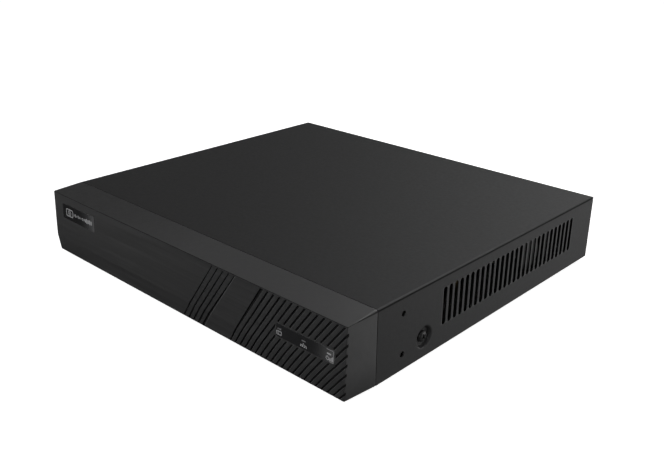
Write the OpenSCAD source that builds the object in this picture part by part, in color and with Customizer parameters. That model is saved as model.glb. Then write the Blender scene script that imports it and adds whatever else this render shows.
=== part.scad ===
// Compact video recorder: a folded steel case with a ribbed plastic bezel, holding a main board,
// a 3.5 inch disk drive, a small fan and a row of rear sockets.
// Millimetres. X runs across the front, the front faces -Y, Z is up and Z = 0 is under the feet.
// Nearly everything is written in the case frame: Y = 0 at the seam between bezel and cover,
// Z = 0 at the underside of the steel floor. case_frame() carries that into the part's own frame.

/* [Case] */
// Width of the case
case_w = 260; // [256:1:280]
// Depth of the steel case behind the bezel
case_d = 215.4; // [215.4:0.2:230]
// Height of the case without its feet
case_h = 42; // [42:0.5:48]
// Thickness of the sheet steel
sheet = 0.8; // [0.6:0.1:0.8]
// Outside radius of the cover's folds
fold_r = 1.2; // [1:0.1:3]
// Air gap between the cover and what it slides past
cover_gap = 0.3; // [0.3:0.05:0.4]
// Height of the rubber feet
foot_h = 2.5; // [2.5:0.5:6]
// Radius of the rubber feet
foot_r = 7.2; // [5:0.1:10]

/* [Vents and side fixings] */
// Number of slots in each side of the cover
slot_count = 28; // [10:1:28]
// Distance from one slot to the next
slot_pitch = 4.95; // [4:0.05:5]
// Width of a slot
slot_w = 2.5; // [1:0.1:3]
// Place of the first slot behind the seam
slot_first = 54.6; // [50:0.1:60]
// Lower end of the slots
slot_low = 12.7; // [8:0.1:16]
// Upper end of the slots
slot_high = 34.75; // [28:0.05:37]
// Place of the side screw behind the seam
side_screw_y = 38; // [36:0.5:40]
// Height of the side screw
side_screw_z = 11.8; // [11.8:0.1:16]
// Place of the two bracket holes behind the seam
ear_y = 20.1; // [16:0.1:24]
// Height of the lower bracket hole
ear_z = 9.2; // [7:0.1:12]
// Distance between the two bracket holes
ear_pitch = 23.1; // [20:0.1:25]
// Radius of the bracket holes
ear_r = 1.6; // [1.2:0.1:2]

/* [Bezel] */
// Depth of the bezel at its belly
bezel_d = 22; // [20:0.5:24]
// Forward lean of the upper face, in millimetres per millimetre of height
face_lean = 0.0586; // [0.03:0.001:0.08]
// Height where the flat upper face turns into the round lower face
belly_z = 17; // [12:1:22]
// Radius of the lower face and of the lower sides
belly_r = 150; // [120:5:300]
// Depth of the slanted grooves
groove_depth = 1.3; // [0.5:0.1:1.6]
// Number of grooves in the ribbed field
rib_count = 21; // [8:1:21]

/* [Fan] */
// Number of blades
blade_count = 7; // [5:1:9]

/* [Rear sockets] */
// How far the video sockets stand out behind the case
socket_out = 11.6; // [8:0.1:13]
// Distance between the columns of video sockets
video_pitch = 16; // [15:0.5:16]
// Height of the lower row of round sockets
row_low = 14.6; // [14.6:0.1:15]
// Distance between the two rows
row_pitch = 15; // [15:0.1:15.4]

/* [Hidden] */
$fn = 48;

// Case frame
total_d = bezel_d + case_d + socket_out;
seam_y = bezel_d - total_d / 2;
half_w = case_w / 2;
over = 0.5;                              // how far a cutter passes a surface

// Steel parts
cover_in = half_w - sheet;               // inner face of the cover's sides
cover_top_in = case_h - sheet;           // inner face of the cover's top
tray_out = cover_in - cover_gap;         // outer face of the tray's flanges
flange_h = 4.8;
wall_h = cover_top_in - 2 * cover_gap + 0.1;
lip_in = case_d - sheet;                 // inner face of the cover's rear lip
panel_out = lip_in - cover_gap;          // outer face of the rear panel
panel_in = panel_out - sheet;            // inner face of the rear panel
lip_low = 37.5;
lip_tab_low = 32;
lip_tab_w = 12;
rear_screw_x = half_w - 10;
rear_screw_z = 36.5;

// Dimple round each side screw
dimple_depth = 2;
dimple_r = 6.2;
dimple_floor_r = 5.2;
tab_out = half_w - dimple_depth - sheet - cover_gap;
tab_y = [12, 50];
tab_top = 37.5;

// Screws
m3_r = 1.5;
m3_hole_r = 1.7;
m3_notch_r = 1.8;
m3_head_r = 3.2;
m3_head_h = 1.9;

// Bezel
face_top = 40.9;
face_low = 0.3;
face_half_w = half_w - 0.5;
bezel_wall = 2;
bezel_inner = bezel_d - 3.2;             // depth of the hollow behind the face
lean_angle = atan(face_lean);
groove_z = [3, 39];                      // heights at which the grooves' places are stated
groove_ends = [0.8, 40.2];               // the grooves stop short of both edges of the face
fine_count = 5;
badge_size = [37, 10];
badge_at = [-100.5, 30.5];
window_size = [39.4, 7.1];
window_at = [102.6, 22.15];
lamp_x = [85.2, 102.1, 119];
lamp_z = 22.4;
hook_x = [-100, -35, 35, 70];
lamp_board = [[80, 14], [125, 36]];
lamp_board_y = -8;
board_t = 1.6;
lamp_screw_at = [[88, 31.5], [117, 31.5]];

// Main board
board_lo = [-114, 112];
board_hi = [96, panel_in - 1];
board_hole_r = 1.6;
board_z = 5.8;
board_top = board_z + board_t;
standoff_at = [[-108, 118], [-108, 190], [-12, 122], [90, 124], [90, 190]];

// Fan, standard 40 mm frame
fan_size = 40;
fan_t = 10;
fan_x = 114;
fan_y = 150;
fan_z = sheet + fan_size / 2;
fan_bore_r = 19.2;
fan_hole_pitch = 32;
shaft_r = 1;
running_gap = 0.05;                      // radial clearance of the small shafts

// Disk drive, standard 3.5 inch outline
drive_lo = [-122, 4.6, 2.8];
drive_size = [147, 101.6, 26.1];
drive_hi = drive_lo + drive_size;
lid_z = drive_hi[2] - 1.2;
bay_z = 10;                              // floor of the sealed bay
spindle = [drive_lo[0] + 50.8, drive_lo[1] + 50.8];
platter_r = 47.5;
platter_t = 1.27;
platter_z = [14, 18];
pivot = [spindle[0] + 50.9, spindle[1] - 26];
arm_park = 101;                          // heading of the parked arm, in degrees
arm_l = 50;
drive_hole_x = [drive_hi[0] - 41.28, drive_hi[0] - 85.73];
drive_hole_y = [drive_lo[1] + 3.175, drive_hi[1] - 3.175];
lid_screw_at = [[-118.5, 8.1], [-118.5, 102.7], [-51, 7.6], [-46, 102.9], [21.8, 8.1],
    [21.8, 102.7]];

// Rear sockets
video_x = [for (i = [0:3]) -104 + i * video_pitch];
row_z = [row_low, row_low + row_pitch];
socket_face = panel_in - 0.5;            // front of the round sockets' blocks
port_out = panel_in + 1.5;               // mouths of the flat sockets
audio_x = -37;
vga_x = -9;
vga_z = 14;
vga_post_pitch = 24.99;
post_tap_r = 1.13;
hdmi_x = 20;
lan_x = 42;
usb_x = 62;
inlet_x = 82;
inlet_z = 13.9;
earth_at = [103, 13];

// Frames and simple solids -------------------------------------------------------------------

module case_frame() {
    translate([0, seam_y, foot_h]) children();
}

// Box from its lowest to its highest corner
module block(lo, hi) {
    translate(lo) cube(hi - lo);
}

module rod_x(r, x0, x1, y, z) {
    translate([x0, y, z]) rotate([0, 90, 0]) cylinder(r = r, h = x1 - x0);
}

module rod_y(r, y0, y1, x, z) {
    translate([x, y0, z]) rotate([-90, 0, 0]) cylinder(r = r, h = y1 - y0);
}

module rod_z(r, z0, z1, x, y) {
    translate([x, y, z0]) cylinder(r = r, h = z1 - z0);
}

module both_sides() {
    children();
    mirror([1, 0, 0]) children();
}

module rounded_rect(w, h, r) {
    square([w - 2 * r, h], center = true);
    square([w, h - 2 * r], center = true);
    for (x = [-1, 1], y = [-1, 1])
        translate([x * (w / 2 - r), y * (h / 2 - r)]) circle(r = r);
}

// Screw pointing down, with the underside of its head at Z = 0 and a cross recess
module pan_screw(head_r, head_h, shank_r, shank_l) {
    cross_w = head_r * 0.3;
    cross_l = head_r * 1.1;
    difference() {
        union() {
            cylinder(r = head_r, h = head_h * 0.6);
            translate([0, 0, head_h * 0.6])
                cylinder(r1 = head_r, r2 = head_r * 0.72, h = head_h * 0.4);
        }
        for (a = [0, 90]) rotate([0, 0, a])
            translate([0, 0, head_h]) cube([cross_l, cross_w, head_h], center = true);
    }
    translate([0, 0, -shank_l]) cylinder(r = shank_r, h = shank_l);
}

// Cables -------------------------------------------------------------------------------------

// Smooth curve through hand-placed points, with n steps from each point to the next
function curve_at(a, b, c, d, t) =
    0.5 * (2 * b + (c - a) * t + (2 * a - 5 * b + 4 * c - d) * t * t
        + (3 * b - a - 3 * c + d) * t * t * t);
function smooth(p, n) = [
    for (i = [0:len(p) - 2], j = [0:n - 1])
        curve_at(p[max(i - 1, 0)], p[i], p[i + 1], p[min(i + 2, len(p) - 1)], j / n),
    p[len(p) - 1]];
function unit(v) = v / norm(v);
function heading(p, i) = unit(p[min(i + 1, len(p) - 1)] - p[max(i - 1, 0)]);

// Outline of a cable that lies flat: width across its run, thickness upwards
function oval(w, t, sides) = [
    for (k = [0:sides - 1]) [w / 2 * cos(360 * k / sides), t / 2 * sin(360 * k / sides)]];

module cable(points, w, t, sides = 8, steps = 4) {
    p = smooth(points, steps);
    n = len(p);
    ring = oval(w, t, sides);
    verts = [for (i = [0:n - 1])
        let (ahead = heading(p, i), side = unit(cross(ahead, [0, 0, 1])), up = cross(side, ahead))
            for (q = ring) p[i] + q[0] * side + q[1] * up];
    walls = [for (i = [0:n - 2], k = [0:sides - 1])
        let (a = i * sides + k, b = i * sides + (k + 1) % sides)
            [a, b, b + sides, a + sides]];
    near_end = [[for (k = [sides - 1:-1:0]) k]];
    far_end = [[for (k = [0:sides - 1]) (n - 1) * sides + k]];
    polyhedron(points = verts, faces = concat(walls, near_end, far_end), convexity = 6);
}

// Steel case ---------------------------------------------------------------------------------

module fold_profile(w, h, r) {
    translate([-w / 2, 0]) square([w, h - r]);
    translate([r - w / 2, 0]) square([w - 2 * r, h]);
    for (x = [-1, 1]) translate([x * (w / 2 - r), h - r]) circle(r = r);
}

module slot_pattern() {
    for (i = [0:slot_count - 1]) translate([slot_first + i * slot_pitch, 0]) {
        translate([-slot_w / 2, slot_low + slot_w / 2])
            square([slot_w, slot_high - slot_low - slot_w]);
        for (z = [slot_low + slot_w / 2, slot_high - slot_w / 2])
            translate([0, z]) circle(r = slot_w / 2);
    }
}

// Extrudes a drawing of (Y, Z) along X, through both sides of the case
module across_case() {
    translate([-half_w - over, 0, 0]) rotate([90, 0, 90])
        linear_extrude(height = case_w + 2 * over) children();
}

module cover_lip() {
    block([-cover_in, lip_in, lip_low], [cover_in, case_d, cover_top_in]);
    both_sides() block([rear_screw_x - lip_tab_w / 2, lip_in, lip_tab_low],
        [rear_screw_x + lip_tab_w / 2, case_d, lip_low]);
}

module dimple_bump() {
    both_sides() translate([half_w - dimple_depth - sheet, side_screw_y, side_screw_z])
        rotate([0, 90, 0])
            cylinder(r1 = dimple_floor_r + sheet, r2 = dimple_r + sheet, h = dimple_depth);
}

module dimple_cut() {
    both_sides() translate([half_w - dimple_depth, side_screw_y, side_screw_z])
        rotate([0, 90, 0]) cylinder(r1 = dimple_floor_r, r2 = dimple_r, h = dimple_depth);
}

module top_cover() {
    color("#2a2a2b") case_frame() difference() {
        union() {
            translate([0, case_d, 0]) rotate([90, 0, 0]) linear_extrude(height = case_d - cover_gap)
                difference() {
                    fold_profile(case_w, case_h, fold_r);
                    translate([-cover_in, -over]) square([2 * cover_in, cover_top_in + over]);
                }
            cover_lip();
            dimple_bump();
        }
        dimple_cut();
        across_case() slot_pattern();
        rod_x(m3_hole_r, -half_w, half_w, side_screw_y, side_screw_z);
        for (z = [ear_z, ear_z + ear_pitch]) rod_x(ear_r, -half_w - over, half_w + over, ear_y, z);
        for (x = [-rear_screw_x, rear_screw_x])
            rod_y(m3_hole_r, lip_in - over, case_d + over, x, rear_screw_z);
    }
}

// Raised seat under the disk drive, hollow below for the screw's head
pad_r = 5;
pad_hollow_r = 4.2;

module drive_pads() {
    for (x = drive_hole_x, y = drive_hole_y) rod_z(pad_r, 0, drive_lo[2], x, y);
}

module drive_pad_cuts() {
    for (x = drive_hole_x, y = drive_hole_y) {
        rod_z(pad_hollow_r, -over, drive_lo[2] - sheet, x, y);
        rod_z(m3_notch_r, 0, drive_lo[2] + over, x, y);
    }
}

module floor_vents() {
    for (i = [0:13]) block([36 + i * 6, 24, -over], [38.4 + i * 6, 60, sheet + over]);
}

module side_tabs() {
    both_sides() block([tab_out - sheet, tab_y[0], 0], [tab_out, tab_y[1], tab_top]);
}

// The side screws drop into notches that are open at the top
module side_tab_cuts() {
    both_sides() {
        rod_x(m3_notch_r, tab_out - sheet - over, tab_out + over, side_screw_y, side_screw_z);
        block([tab_out - sheet - over, side_screw_y - m3_notch_r, side_screw_z],
            [tab_out + over, side_screw_y + m3_notch_r, tab_top + over]);
        for (z = [ear_z, ear_z + ear_pitch])
            rod_x(ear_r, tab_out - sheet - over, tab_out + over, ear_y, z);
    }
}

module front_wall_cuts() {
    for (x = hook_x) {
        block([x - 4.5, -over, 36.6], [x + 4.5, sheet + over, 39.4]);
        block([x - 4.5, -over, 2.4], [x + 4.5, sheet + over, 4.8]);
    }
    block([82, -over, 14], [94, sheet + over, 21]);
    for (i = [0:11]) block([-110 + i * 8, -over, 12], [-107.5 + i * 8, sheet + over, 30]);
}

fan_tab_x = fan_x + fan_t;
fan_tab_h = 9;
fan_low_z = sheet + (fan_size - fan_hole_pitch) / 2;

module base_chassis() {
    color("#8d9092") case_frame() difference() {
        union() {
            block([-tray_out, 0, 0], [tray_out, panel_in, sheet]);
            both_sides() block([tray_out - sheet, 0, 0], [tray_out, panel_in, flange_h]);
            block([-tray_out, 0, 0], [tray_out, sheet, wall_h]);
            side_tabs();
            block([fan_tab_x, fan_y - fan_size / 2, 0],
                [fan_tab_x + sheet, fan_y + fan_size / 2, fan_tab_h]);
            drive_pads();
        }
        drive_pad_cuts();
        side_tab_cuts();
        floor_vents();
        front_wall_cuts();
        for (s = [-1, 1]) rod_x(m3_notch_r, fan_tab_x - over, fan_tab_x + sheet + over,
            fan_y + s * fan_hole_pitch / 2, fan_low_z);
    }
}

panel_top = cover_top_in - cover_gap;
panel_foot = 8;                          // depth of the flange that stands on the floor
video_hole_r = 6.3;
audio_hole_r = 4.6;
inlet_hole_r = 4.4;
socket_gap = 0.3;                        // clearance round a socket in the panel

module panel_cut(x, w, z0, z1) {
    block([x - w / 2, panel_in - over, z0], [x + w / 2, panel_out + over, z1]);
}

module rear_panel() {
    color("#242425") case_frame() difference() {
        union() {
            block([-tray_out, panel_in, 0], [tray_out, panel_out, panel_top]);
            block([-tray_out + 2, panel_in - panel_foot, sheet],
                [tray_out - 2, panel_in, 2 * sheet]);
        }
        for (x = video_x, z = row_z) rod_y(video_hole_r, panel_in - over, panel_out + over, x, z);
        for (z = row_z) rod_y(audio_hole_r, panel_in - over, panel_out + over, audio_x, z);
        panel_cut(vga_x, vga_w + 2 * socket_gap, vga_z - vga_h / 2 - socket_gap,
            vga_z + vga_h / 2 + socket_gap);
        for (s = [-1, 1]) rod_y(m3_hole_r, panel_in - over, panel_out + over,
            vga_x + s * vga_post_pitch / 2, vga_z);
        panel_cut(hdmi_x, hdmi_w + 2 * socket_gap, board_top - socket_gap,
            board_top + hdmi_h + socket_gap);
        panel_cut(lan_x, lan_w + 2 * socket_gap, board_top - socket_gap,
            board_top + lan_h + socket_gap);
        panel_cut(usb_x, usb_w + 2 * socket_gap, board_top - socket_gap,
            board_top + usb_h + socket_gap);
        rod_y(inlet_hole_r, panel_in - over, panel_out + over, inlet_x, inlet_z);
        rod_y(m3_r, panel_in - over, panel_out + over, earth_at[0], earth_at[1]);
        for (i = [0:9]) panel_cut(14 + i * 9, 6, 30, 32.4);
        both_sides() {
            rod_y(m3_notch_r, panel_in - over, panel_out + over, rear_screw_x, rear_screw_z);
            block([rear_screw_x - m3_notch_r, panel_in - over, rear_screw_z],
                [rear_screw_x + m3_notch_r, panel_out + over, panel_top + over]);
        }
    }
}

module rubber_foot(x, y) {
    color("#1a1a1a") case_frame() translate([x, y, -foot_h]) difference() {
        cylinder(r1 = foot_r - 0.7, r2 = foot_r, h = foot_h);
        translate([0, 0, -over]) cylinder(r = 2.2, h = over + 1.2);
    }
}

foot_x = 108;
foot_front_y = 22;
foot_rear_y = case_d - 22.4;

module foot_front_left() { rubber_foot(-foot_x, foot_front_y); }
module foot_front_right() { rubber_foot(foot_x, foot_front_y); }
module foot_rear_left() { rubber_foot(-foot_x, foot_rear_y); }
module foot_rear_right() { rubber_foot(foot_x, foot_rear_y); }

module cover_screws() {
    color("#3a3a3c") case_frame() {
        both_sides() translate([half_w - dimple_depth, side_screw_y, side_screw_z])
            rotate([0, 90, 0]) pan_screw(m3_head_r, m3_head_h, m3_r, 5);
        for (x = [-rear_screw_x, rear_screw_x]) translate([x, case_d, rear_screw_z])
            rotate([-90, 0, 0]) pan_screw(m3_head_r - 0.3, m3_head_h, m3_r, 6);
    }
}

module earth_screw() {
    color("#b9bcbe") case_frame() translate([earth_at[0], panel_out, earth_at[1]])
        rotate([-90, 0, 0]) pan_screw(3.4, 2.2, m3_r - running_gap, 6);
}

// Bezel --------------------------------------------------------------------------------------

function face_y(z) = z > belly_z
    ? -bezel_d + (z - belly_z) * face_lean
    : -bezel_d + pow(belly_z - z, 2) / (2 * belly_r);
function face_half(z) = face_half_w - (z < 20 ? pow(20 - z, 2) / (2 * belly_r) : 0);
face_steps = [face_low, 3, 6, 9.5, 13, belly_z, 20, face_top];

// Outer form of the bezel; back moves the face inwards and wide moves the sides outwards
module bezel_form(back = 0, wide = 0) {
    hull() {
        block([-half_w - wide, -1, -wide], [half_w + wide, 0, case_h - fold_r]);
        for (x = [-1, 1]) rod_y(fold_r, -1, 0, x * (half_w + wide - fold_r),
            case_h + wide - fold_r, $fn = 32);
        for (z = face_steps) translate([0, 0, z == face_top ? wide : z == face_low ? -wide : 0])
            block([-face_half(z) - wide, face_y(z) + back, z - 0.02],
                [face_half(z) + wide, face_y(z) + back + 1, z + 0.02]);
    }
}

// Slanted strip through (x_low, lower stated height) and (x_high, upper stated height)
module slanted_strip(x_low, x_high, w) {
    slope = (x_high - x_low) / (groove_z[1] - groove_z[0]);
    ends = [for (z = groove_ends) [x_low + (z - groove_z[0]) * slope, z]];
    translate([0, -5, 0]) rotate([90, 0, 0]) linear_extrude(height = bezel_d)
        polygon([ends[0] - [w / 2, 0], ends[0] + [w / 2, 0], ends[1] + [w / 2, 0],
            ends[1] - [w / 2, 0]]);
}

module grooves() {
    for (k = [0:rib_count - 1])
        slanted_strip(47.3 + 3.99 * k, 71.1 + 4.31 * k, k == 0 ? 2.5 : 2);
    for (k = [0:fine_count - 1])
        slanted_strip(7.3 + 4.27 * k, 32.1 + 4.48 * k, 0.8 + 0.22 * k);
}

// Places its children on the flat upper face: local -Y points straight out of it
module on_face(at) {
    translate([at[0], face_y(at[1]), at[1]]) rotate([-lean_angle, 0, 0]) children();
}

module face_plate(size, r, out, depth) {
    translate([0, depth, 0]) rotate([90, 0, 0]) linear_extrude(height = out + depth)
        rounded_rect(size[0], size[1], r);
}

badge_depth = 0.6;
window_depth = 1.2;

module bezel_hooks() {
    for (x = hook_x) {
        block([x - 4, -6, 37], [x + 4, 0, case_h - bezel_wall - 0.2]);
        block([x - 4, -6, 37], [x + 4, 2.4, 38.4]);
        block([x - 4, 0.9, 37], [x + 4, 2.4, 40]);
        block([x - 4, -6, 2], [x + 4, 0, 4.2]);
        block([x - 4, -6, 2.8], [x + 4, 2.4, 4.2]);
        block([x - 4, 0.9, 1.2], [x + 4, 2.4, 4.2]);
    }
}

module front_bezel() {
    color("#2b2b2c") case_frame() difference() {
        union() {
            difference() {
                bezel_form();
                difference() {
                    grooves();
                    bezel_form(back = groove_depth, wide = 1);
                    on_face(window_at) face_plate(window_size + [1.6, 1.6], 0.8, 3, 3);
                }
                block([-half_w + 3.6, -bezel_inner, bezel_wall],
                    [half_w - 3.6, over, case_h - bezel_wall - 0.4]);
            }
            for (p = lamp_screw_at) rod_y(2.6, -bezel_inner - 0.4, lamp_board_y, p[0], p[1]);
            bezel_hooks();
        }
        on_face(badge_at) face_plate(badge_size, 0.8, 2, badge_depth);
        on_face(window_at) face_plate(window_size, 0.6, 2, window_depth);
        for (x = lamp_x) rod_y(1.6, -bezel_d, -bezel_inner + 1, x, lamp_z);
        for (p = lamp_screw_at) rod_y(1.1, -15, lamp_board_y + over, p[0], p[1]);
    }
}

module badge_plate() {
    color("#17181a") case_frame() on_face(badge_at) face_plate(badge_size, 0.8, 0.25, badge_depth);
}

module indicator_window() {
    color("#202124") case_frame() on_face(window_at)
        face_plate(window_size, 0.6, 0.1, window_depth);
}

led_h = 2;

module light_pipes() {
    color("#e6e8ea") case_frame() difference() {
        for (x = lamp_x) rod_y(1.5, -bezel_d, lamp_board_y - led_h - 0.2, x, lamp_z);
        on_face(window_at) face_plate(window_size, 0.6, 2, window_depth);
    }
}

module indicator_board() {
    color("#1d6b3a") case_frame() difference() {
        block([lamp_board[0][0], lamp_board_y, lamp_board[0][1]],
            [lamp_board[1][0], lamp_board_y + board_t, lamp_board[1][1]]);
        for (p = lamp_screw_at)
            rod_y(1.4, lamp_board_y - over, lamp_board_y + board_t + over, p[0], p[1]);
    }
}

module indicator_leds() {
    color("#dfe5e0") case_frame() for (x = lamp_x) {
        rod_y(1.9, lamp_board_y - 0.8, lamp_board_y, x, lamp_z);
        rod_y(1.4, lamp_board_y - led_h, lamp_board_y - 0.8, x, lamp_z);
    }
}

ribbon_x = 88;
header_y = board_lo[1];
lamp_back = lamp_board_y + board_t;

module indicator_ribbon() {
    run = [[-2, 17.5], [2, 17.5], [5, 17], [8, 14.5], [10, 10], [13, 5], [18, 2.8], [25, 2.4],
        [60, 2.4], [90, 2.4], [95, 3.6], [99, 7.5], [102, 9.6], [105, 10]];
    color("#c9cbce") case_frame() {
        block([ribbon_x - 5, lamp_back, 15], [ribbon_x + 5, -2, 20]);
        cable([for (p = run) [ribbon_x, p[0], p[1]]], 8, 1, sides = 8, steps = 3);
        block([ribbon_x - 5.5, 105, 7.8], [ribbon_x + 5.5, header_y, 12.2]);
    }
}

// Main board ---------------------------------------------------------------------------------

module main_board() {
    color("#1d6b3a") case_frame() difference() {
        block([board_lo[0], board_lo[1], board_z], [board_hi[0], board_hi[1], board_top]);
        for (p = standoff_at) rod_z(board_hole_r, board_z - over, board_top + over, p[0], p[1]);
    }
}

tap_r = 1.25;
board_shank_r = 1.2;

module board_standoffs() {
    color("#c8a94e") case_frame() for (p = standoff_at) difference() {
        translate([p[0], p[1], sheet]) cylinder(r = 3.1, h = board_z - sheet, $fn = 6);
        rod_z(tap_r, sheet + 0.5, board_z + over, p[0], p[1]);
    }
}

module board_screws() {
    color("#c3c6c8") case_frame() {
        for (p = standoff_at) translate([p[0], p[1], board_top])
            pan_screw(2.8, 1.9, board_shank_r, 5);
        for (p = lamp_screw_at) translate([p[0], lamp_back, p[1]])
            rotate([-90, 0, 0]) pan_screw(2.4, 1.6, 1.05, 5);
    }
}

// Flat chip centred on a point of the main board
module chip(at, w, d, h) {
    block([at[0] - w / 2, at[1] - d / 2, board_top], [at[0] + w / 2, at[1] + d / 2,
        board_top + h]);
}

cpu_at = [-20, 158];
cpu_h = 2.2;

module processor() {
    color("#26282a") case_frame() chip(cpu_at, 23, 23, cpu_h);
}

module heatsink() {
    size = 40;
    base_t = 2.5;
    fins = 10;
    fin_t = 1.4;
    low = board_top + cpu_h;
    color("#a9adb0") case_frame() translate([cpu_at[0] - size / 2, cpu_at[1] - size / 2, low]) {
        cube([size, size, base_t]);
        for (i = [0:fins - 1]) translate([i * (size - fin_t) / (fins - 1), 0, 0])
            cube([fin_t, size, 14]);
    }
}

module memory_chips() {
    color("#1f2022") case_frame() for (y = [147, 165]) chip([18, y], 9, 14, 1.1);
}

module video_chips() {
    color("#1f2022") case_frame() for (x = [-90, -62]) chip([x, 168], 14, 14, 1.5);
}

module inductors() {
    color("#4a4c50") case_frame() for (y = [136, 151, 166]) chip([58, y], 8, 8, 4.5);
}

module capacitors() {
    places = [[42, 133], [42, 143], [74, 138], [74, 150], [74, 162], [-100, 132], [-100, 143]];
    color("#2a3a5c") case_frame() for (p = places) {
        rod_z(3.3, board_top, board_top + 0.8, p[0], p[1]);
        rod_z(3.15, board_top + 0.8, board_top + 9, p[0], p[1]);
    }
}

cell_at = [-72, 134];

module cell_holder() {
    color("#2b2b2d") case_frame() difference() {
        rod_z(11.5, board_top, board_top + 3, cell_at[0], cell_at[1]);
        rod_z(10.1, board_top + 0.8, board_top + 3 + over, cell_at[0], cell_at[1]);
        block([cell_at[0] - 3, cell_at[1] + 5, board_top + 0.8], [cell_at[0] + 3,
            cell_at[1] + 12, board_top + 4]);
    }
}

module coin_cell() {
    color("#c6c8ca") case_frame()
        rod_z(10, board_top + 0.8, board_top + 4, cell_at[0], cell_at[1]);
}

module buzzer() {
    color("#222222") case_frame() difference() {
        rod_z(5, board_top, board_top + 7, -40, 130);
        rod_z(1, board_top + 5, board_top + 7 + over, -40, 130);
    }
}

sata_x = 68;
sata_z = [board_top, 16];
power_x = 46;

module sata_socket() {
    color("#1f2a6b") case_frame() difference() {
        block([sata_x - 8.5, header_y, sata_z[0]], [sata_x + 8.5, header_y + 9, sata_z[1]]);
        block([sata_x - 6, header_y - over, 10], [sata_x + 6, header_y + 6, 13.4]);
    }
}

fan_header_y = 150;

module pin_headers() {
    color("#e9e6dc") case_frame() {
        block([power_x - 6.5, header_y, board_top], [power_x + 6.5, header_y + 7, 14]);
        block([ribbon_x - 6, header_y, board_top], [ribbon_x + 6, header_y + 5.5, 12.6]);
        block([board_hi[0] - 6, fan_header_y - 4, board_top], [board_hi[0], fan_header_y + 4,
            12.6]);
    }
}

// Fan ----------------------------------------------------------------------------------------

fan_back = fan_x + fan_t;                // outward face of the frame, next to the vents
stator_r = 8;
hub_r = 10;
blade_tip_r = 18.4;

module fan_frame() {
    color("#1c1c1d") case_frame() difference() {
        union() {
            difference() {
                block([fan_x, fan_y - fan_size / 2, sheet],
                    [fan_back, fan_y + fan_size / 2, sheet + fan_size]);
                rod_x(fan_bore_r, fan_x - over, fan_back + over, fan_y, fan_z);
            }
            for (a = [45:90:315]) translate([fan_back - 1.5, fan_y, fan_z]) rotate([a, 0, 0])
                translate([0, -1.2, 4]) cube([1.5, 2.4, fan_bore_r - 3]);
            rod_x(hub_r, fan_back - 1.5, fan_back, fan_y, fan_z);
            rod_x(stator_r, fan_x + 3, fan_back, fan_y, fan_z);
        }
        rod_x(shaft_r + running_gap, fan_x, fan_back - 0.8, fan_y, fan_z);
        for (y = [-1, 1], z = [-1, 1]) rod_x(2.15, fan_x - over, fan_back + over,
            fan_y + y * fan_hole_pitch / 2, fan_z + z * fan_hole_pitch / 2);
    }
}

module fan_rotor() {
    color("#1c1c1d") case_frame() {
        difference() {
            rod_x(hub_r, fan_x + 0.5, fan_back - 1.8, fan_y, fan_z);
            rod_x(hub_r - 1, fan_x + 1.7, fan_back, fan_y, fan_z);
        }
        rod_x(shaft_r, fan_x + 1, fan_back - 1, fan_y, fan_z);
        intersection() {
            difference() {
                for (i = [0:blade_count - 1]) translate([fan_x + fan_t / 2 - 0.6, fan_y, fan_z])
                    rotate([i * 360 / blade_count, 0, 0]) rotate([0, 0, 38])
                        translate([-4.6, -0.5, hub_r - 0.6]) cube([9.2, 1, 10]);
                rod_x(hub_r - 0.5, fan_x, fan_back, fan_y, fan_z);
            }
            rod_x(blade_tip_r, fan_x + 0.7, fan_back - 2, fan_y, fan_z);
        }
    }
}

module fan_screws() {
    color("#b9bcbe") case_frame() for (s = [-1, 1])
        translate([fan_tab_x + sheet, fan_y + s * fan_hole_pitch / 2, fan_low_z])
            rotate([0, 90, 0]) pan_screw(2.7, 1.8, m3_r, 8);
}

module fan_lead() {
    color("#b02a25") case_frame() {
        block([board_hi[0], fan_header_y - 3, 7.8], [board_hi[0] + 6, fan_header_y + 3, 12.2]);
        for (s = [-1, 1])
            cable([[102, fan_header_y + 1.2 * s, 10], [104.5, fan_header_y + 1.2 * s, 9.8],
                [107, 147 + s, 8.5], [109, 143 + s, 6], [110.5, 139 + s, 4],
                [112.2, 137 + s, 3.1], [fan_x - 0.1, 137 + s, 3]], 1.2, 1.2, sides = 8,
                steps = 3);
    }
}

// Disk drive ---------------------------------------------------------------------------------

module drive_outline(z0, z1, r) {
    centre = (drive_lo + drive_hi) / 2;
    translate([centre[0], centre[1], z0]) linear_extrude(height = z1 - z0)
        rounded_rect(drive_size[0], drive_size[1], r);
}

connector_y = [13, 56];
connector_top = 8.8;
drive_pocket = [[-58, 14], [16, 96]];    // room for the drive's board under its floor
post_r = 3;

module drive_base() {
    color("#9a9da0") case_frame() difference() {
        union() {
            difference() {
                drive_outline(drive_lo[2], lid_z, 3);
                rod_z(platter_r + 1.1, bay_z, lid_z + over, spindle[0], spindle[1]);
                block([-46, 8.4, bay_z], [18.8, 98, lid_z + over]);
            }
            rod_z(post_r, bay_z - 1, 22.5, pivot[0], pivot[1]);
        }
        rod_z(2 + running_gap, 5.6, bay_z + over, spindle[0], spindle[1]);
        block([drive_pocket[0][0], drive_pocket[0][1], drive_lo[2] - over],
            [drive_pocket[1][0], drive_pocket[1][1], 5]);
        block([drive_pocket[1][0], connector_y[0], drive_lo[2] - over],
            [drive_hi[0] + over, connector_y[1], connector_top + 0.2]);
        for (x = drive_hole_x, y = drive_hole_y) rod_z(1.55, drive_lo[2] - over, 8.8, x, y);
        for (p = lid_screw_at) rod_z(tap_r, lid_z - 6, lid_z + over, p[0], p[1]);
    }
}

module drive_lid() {
    color("#b9bcbe") case_frame() difference() {
        drive_outline(lid_z, drive_hi[2], 3);
        rod_z(38, drive_hi[2] - 0.4, drive_hi[2] + over, spindle[0], spindle[1]);
        for (p = lid_screw_at) rod_z(tap_r + 0.2, lid_z - over, drive_hi[2] + over, p[0], p[1]);
    }
}

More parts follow.
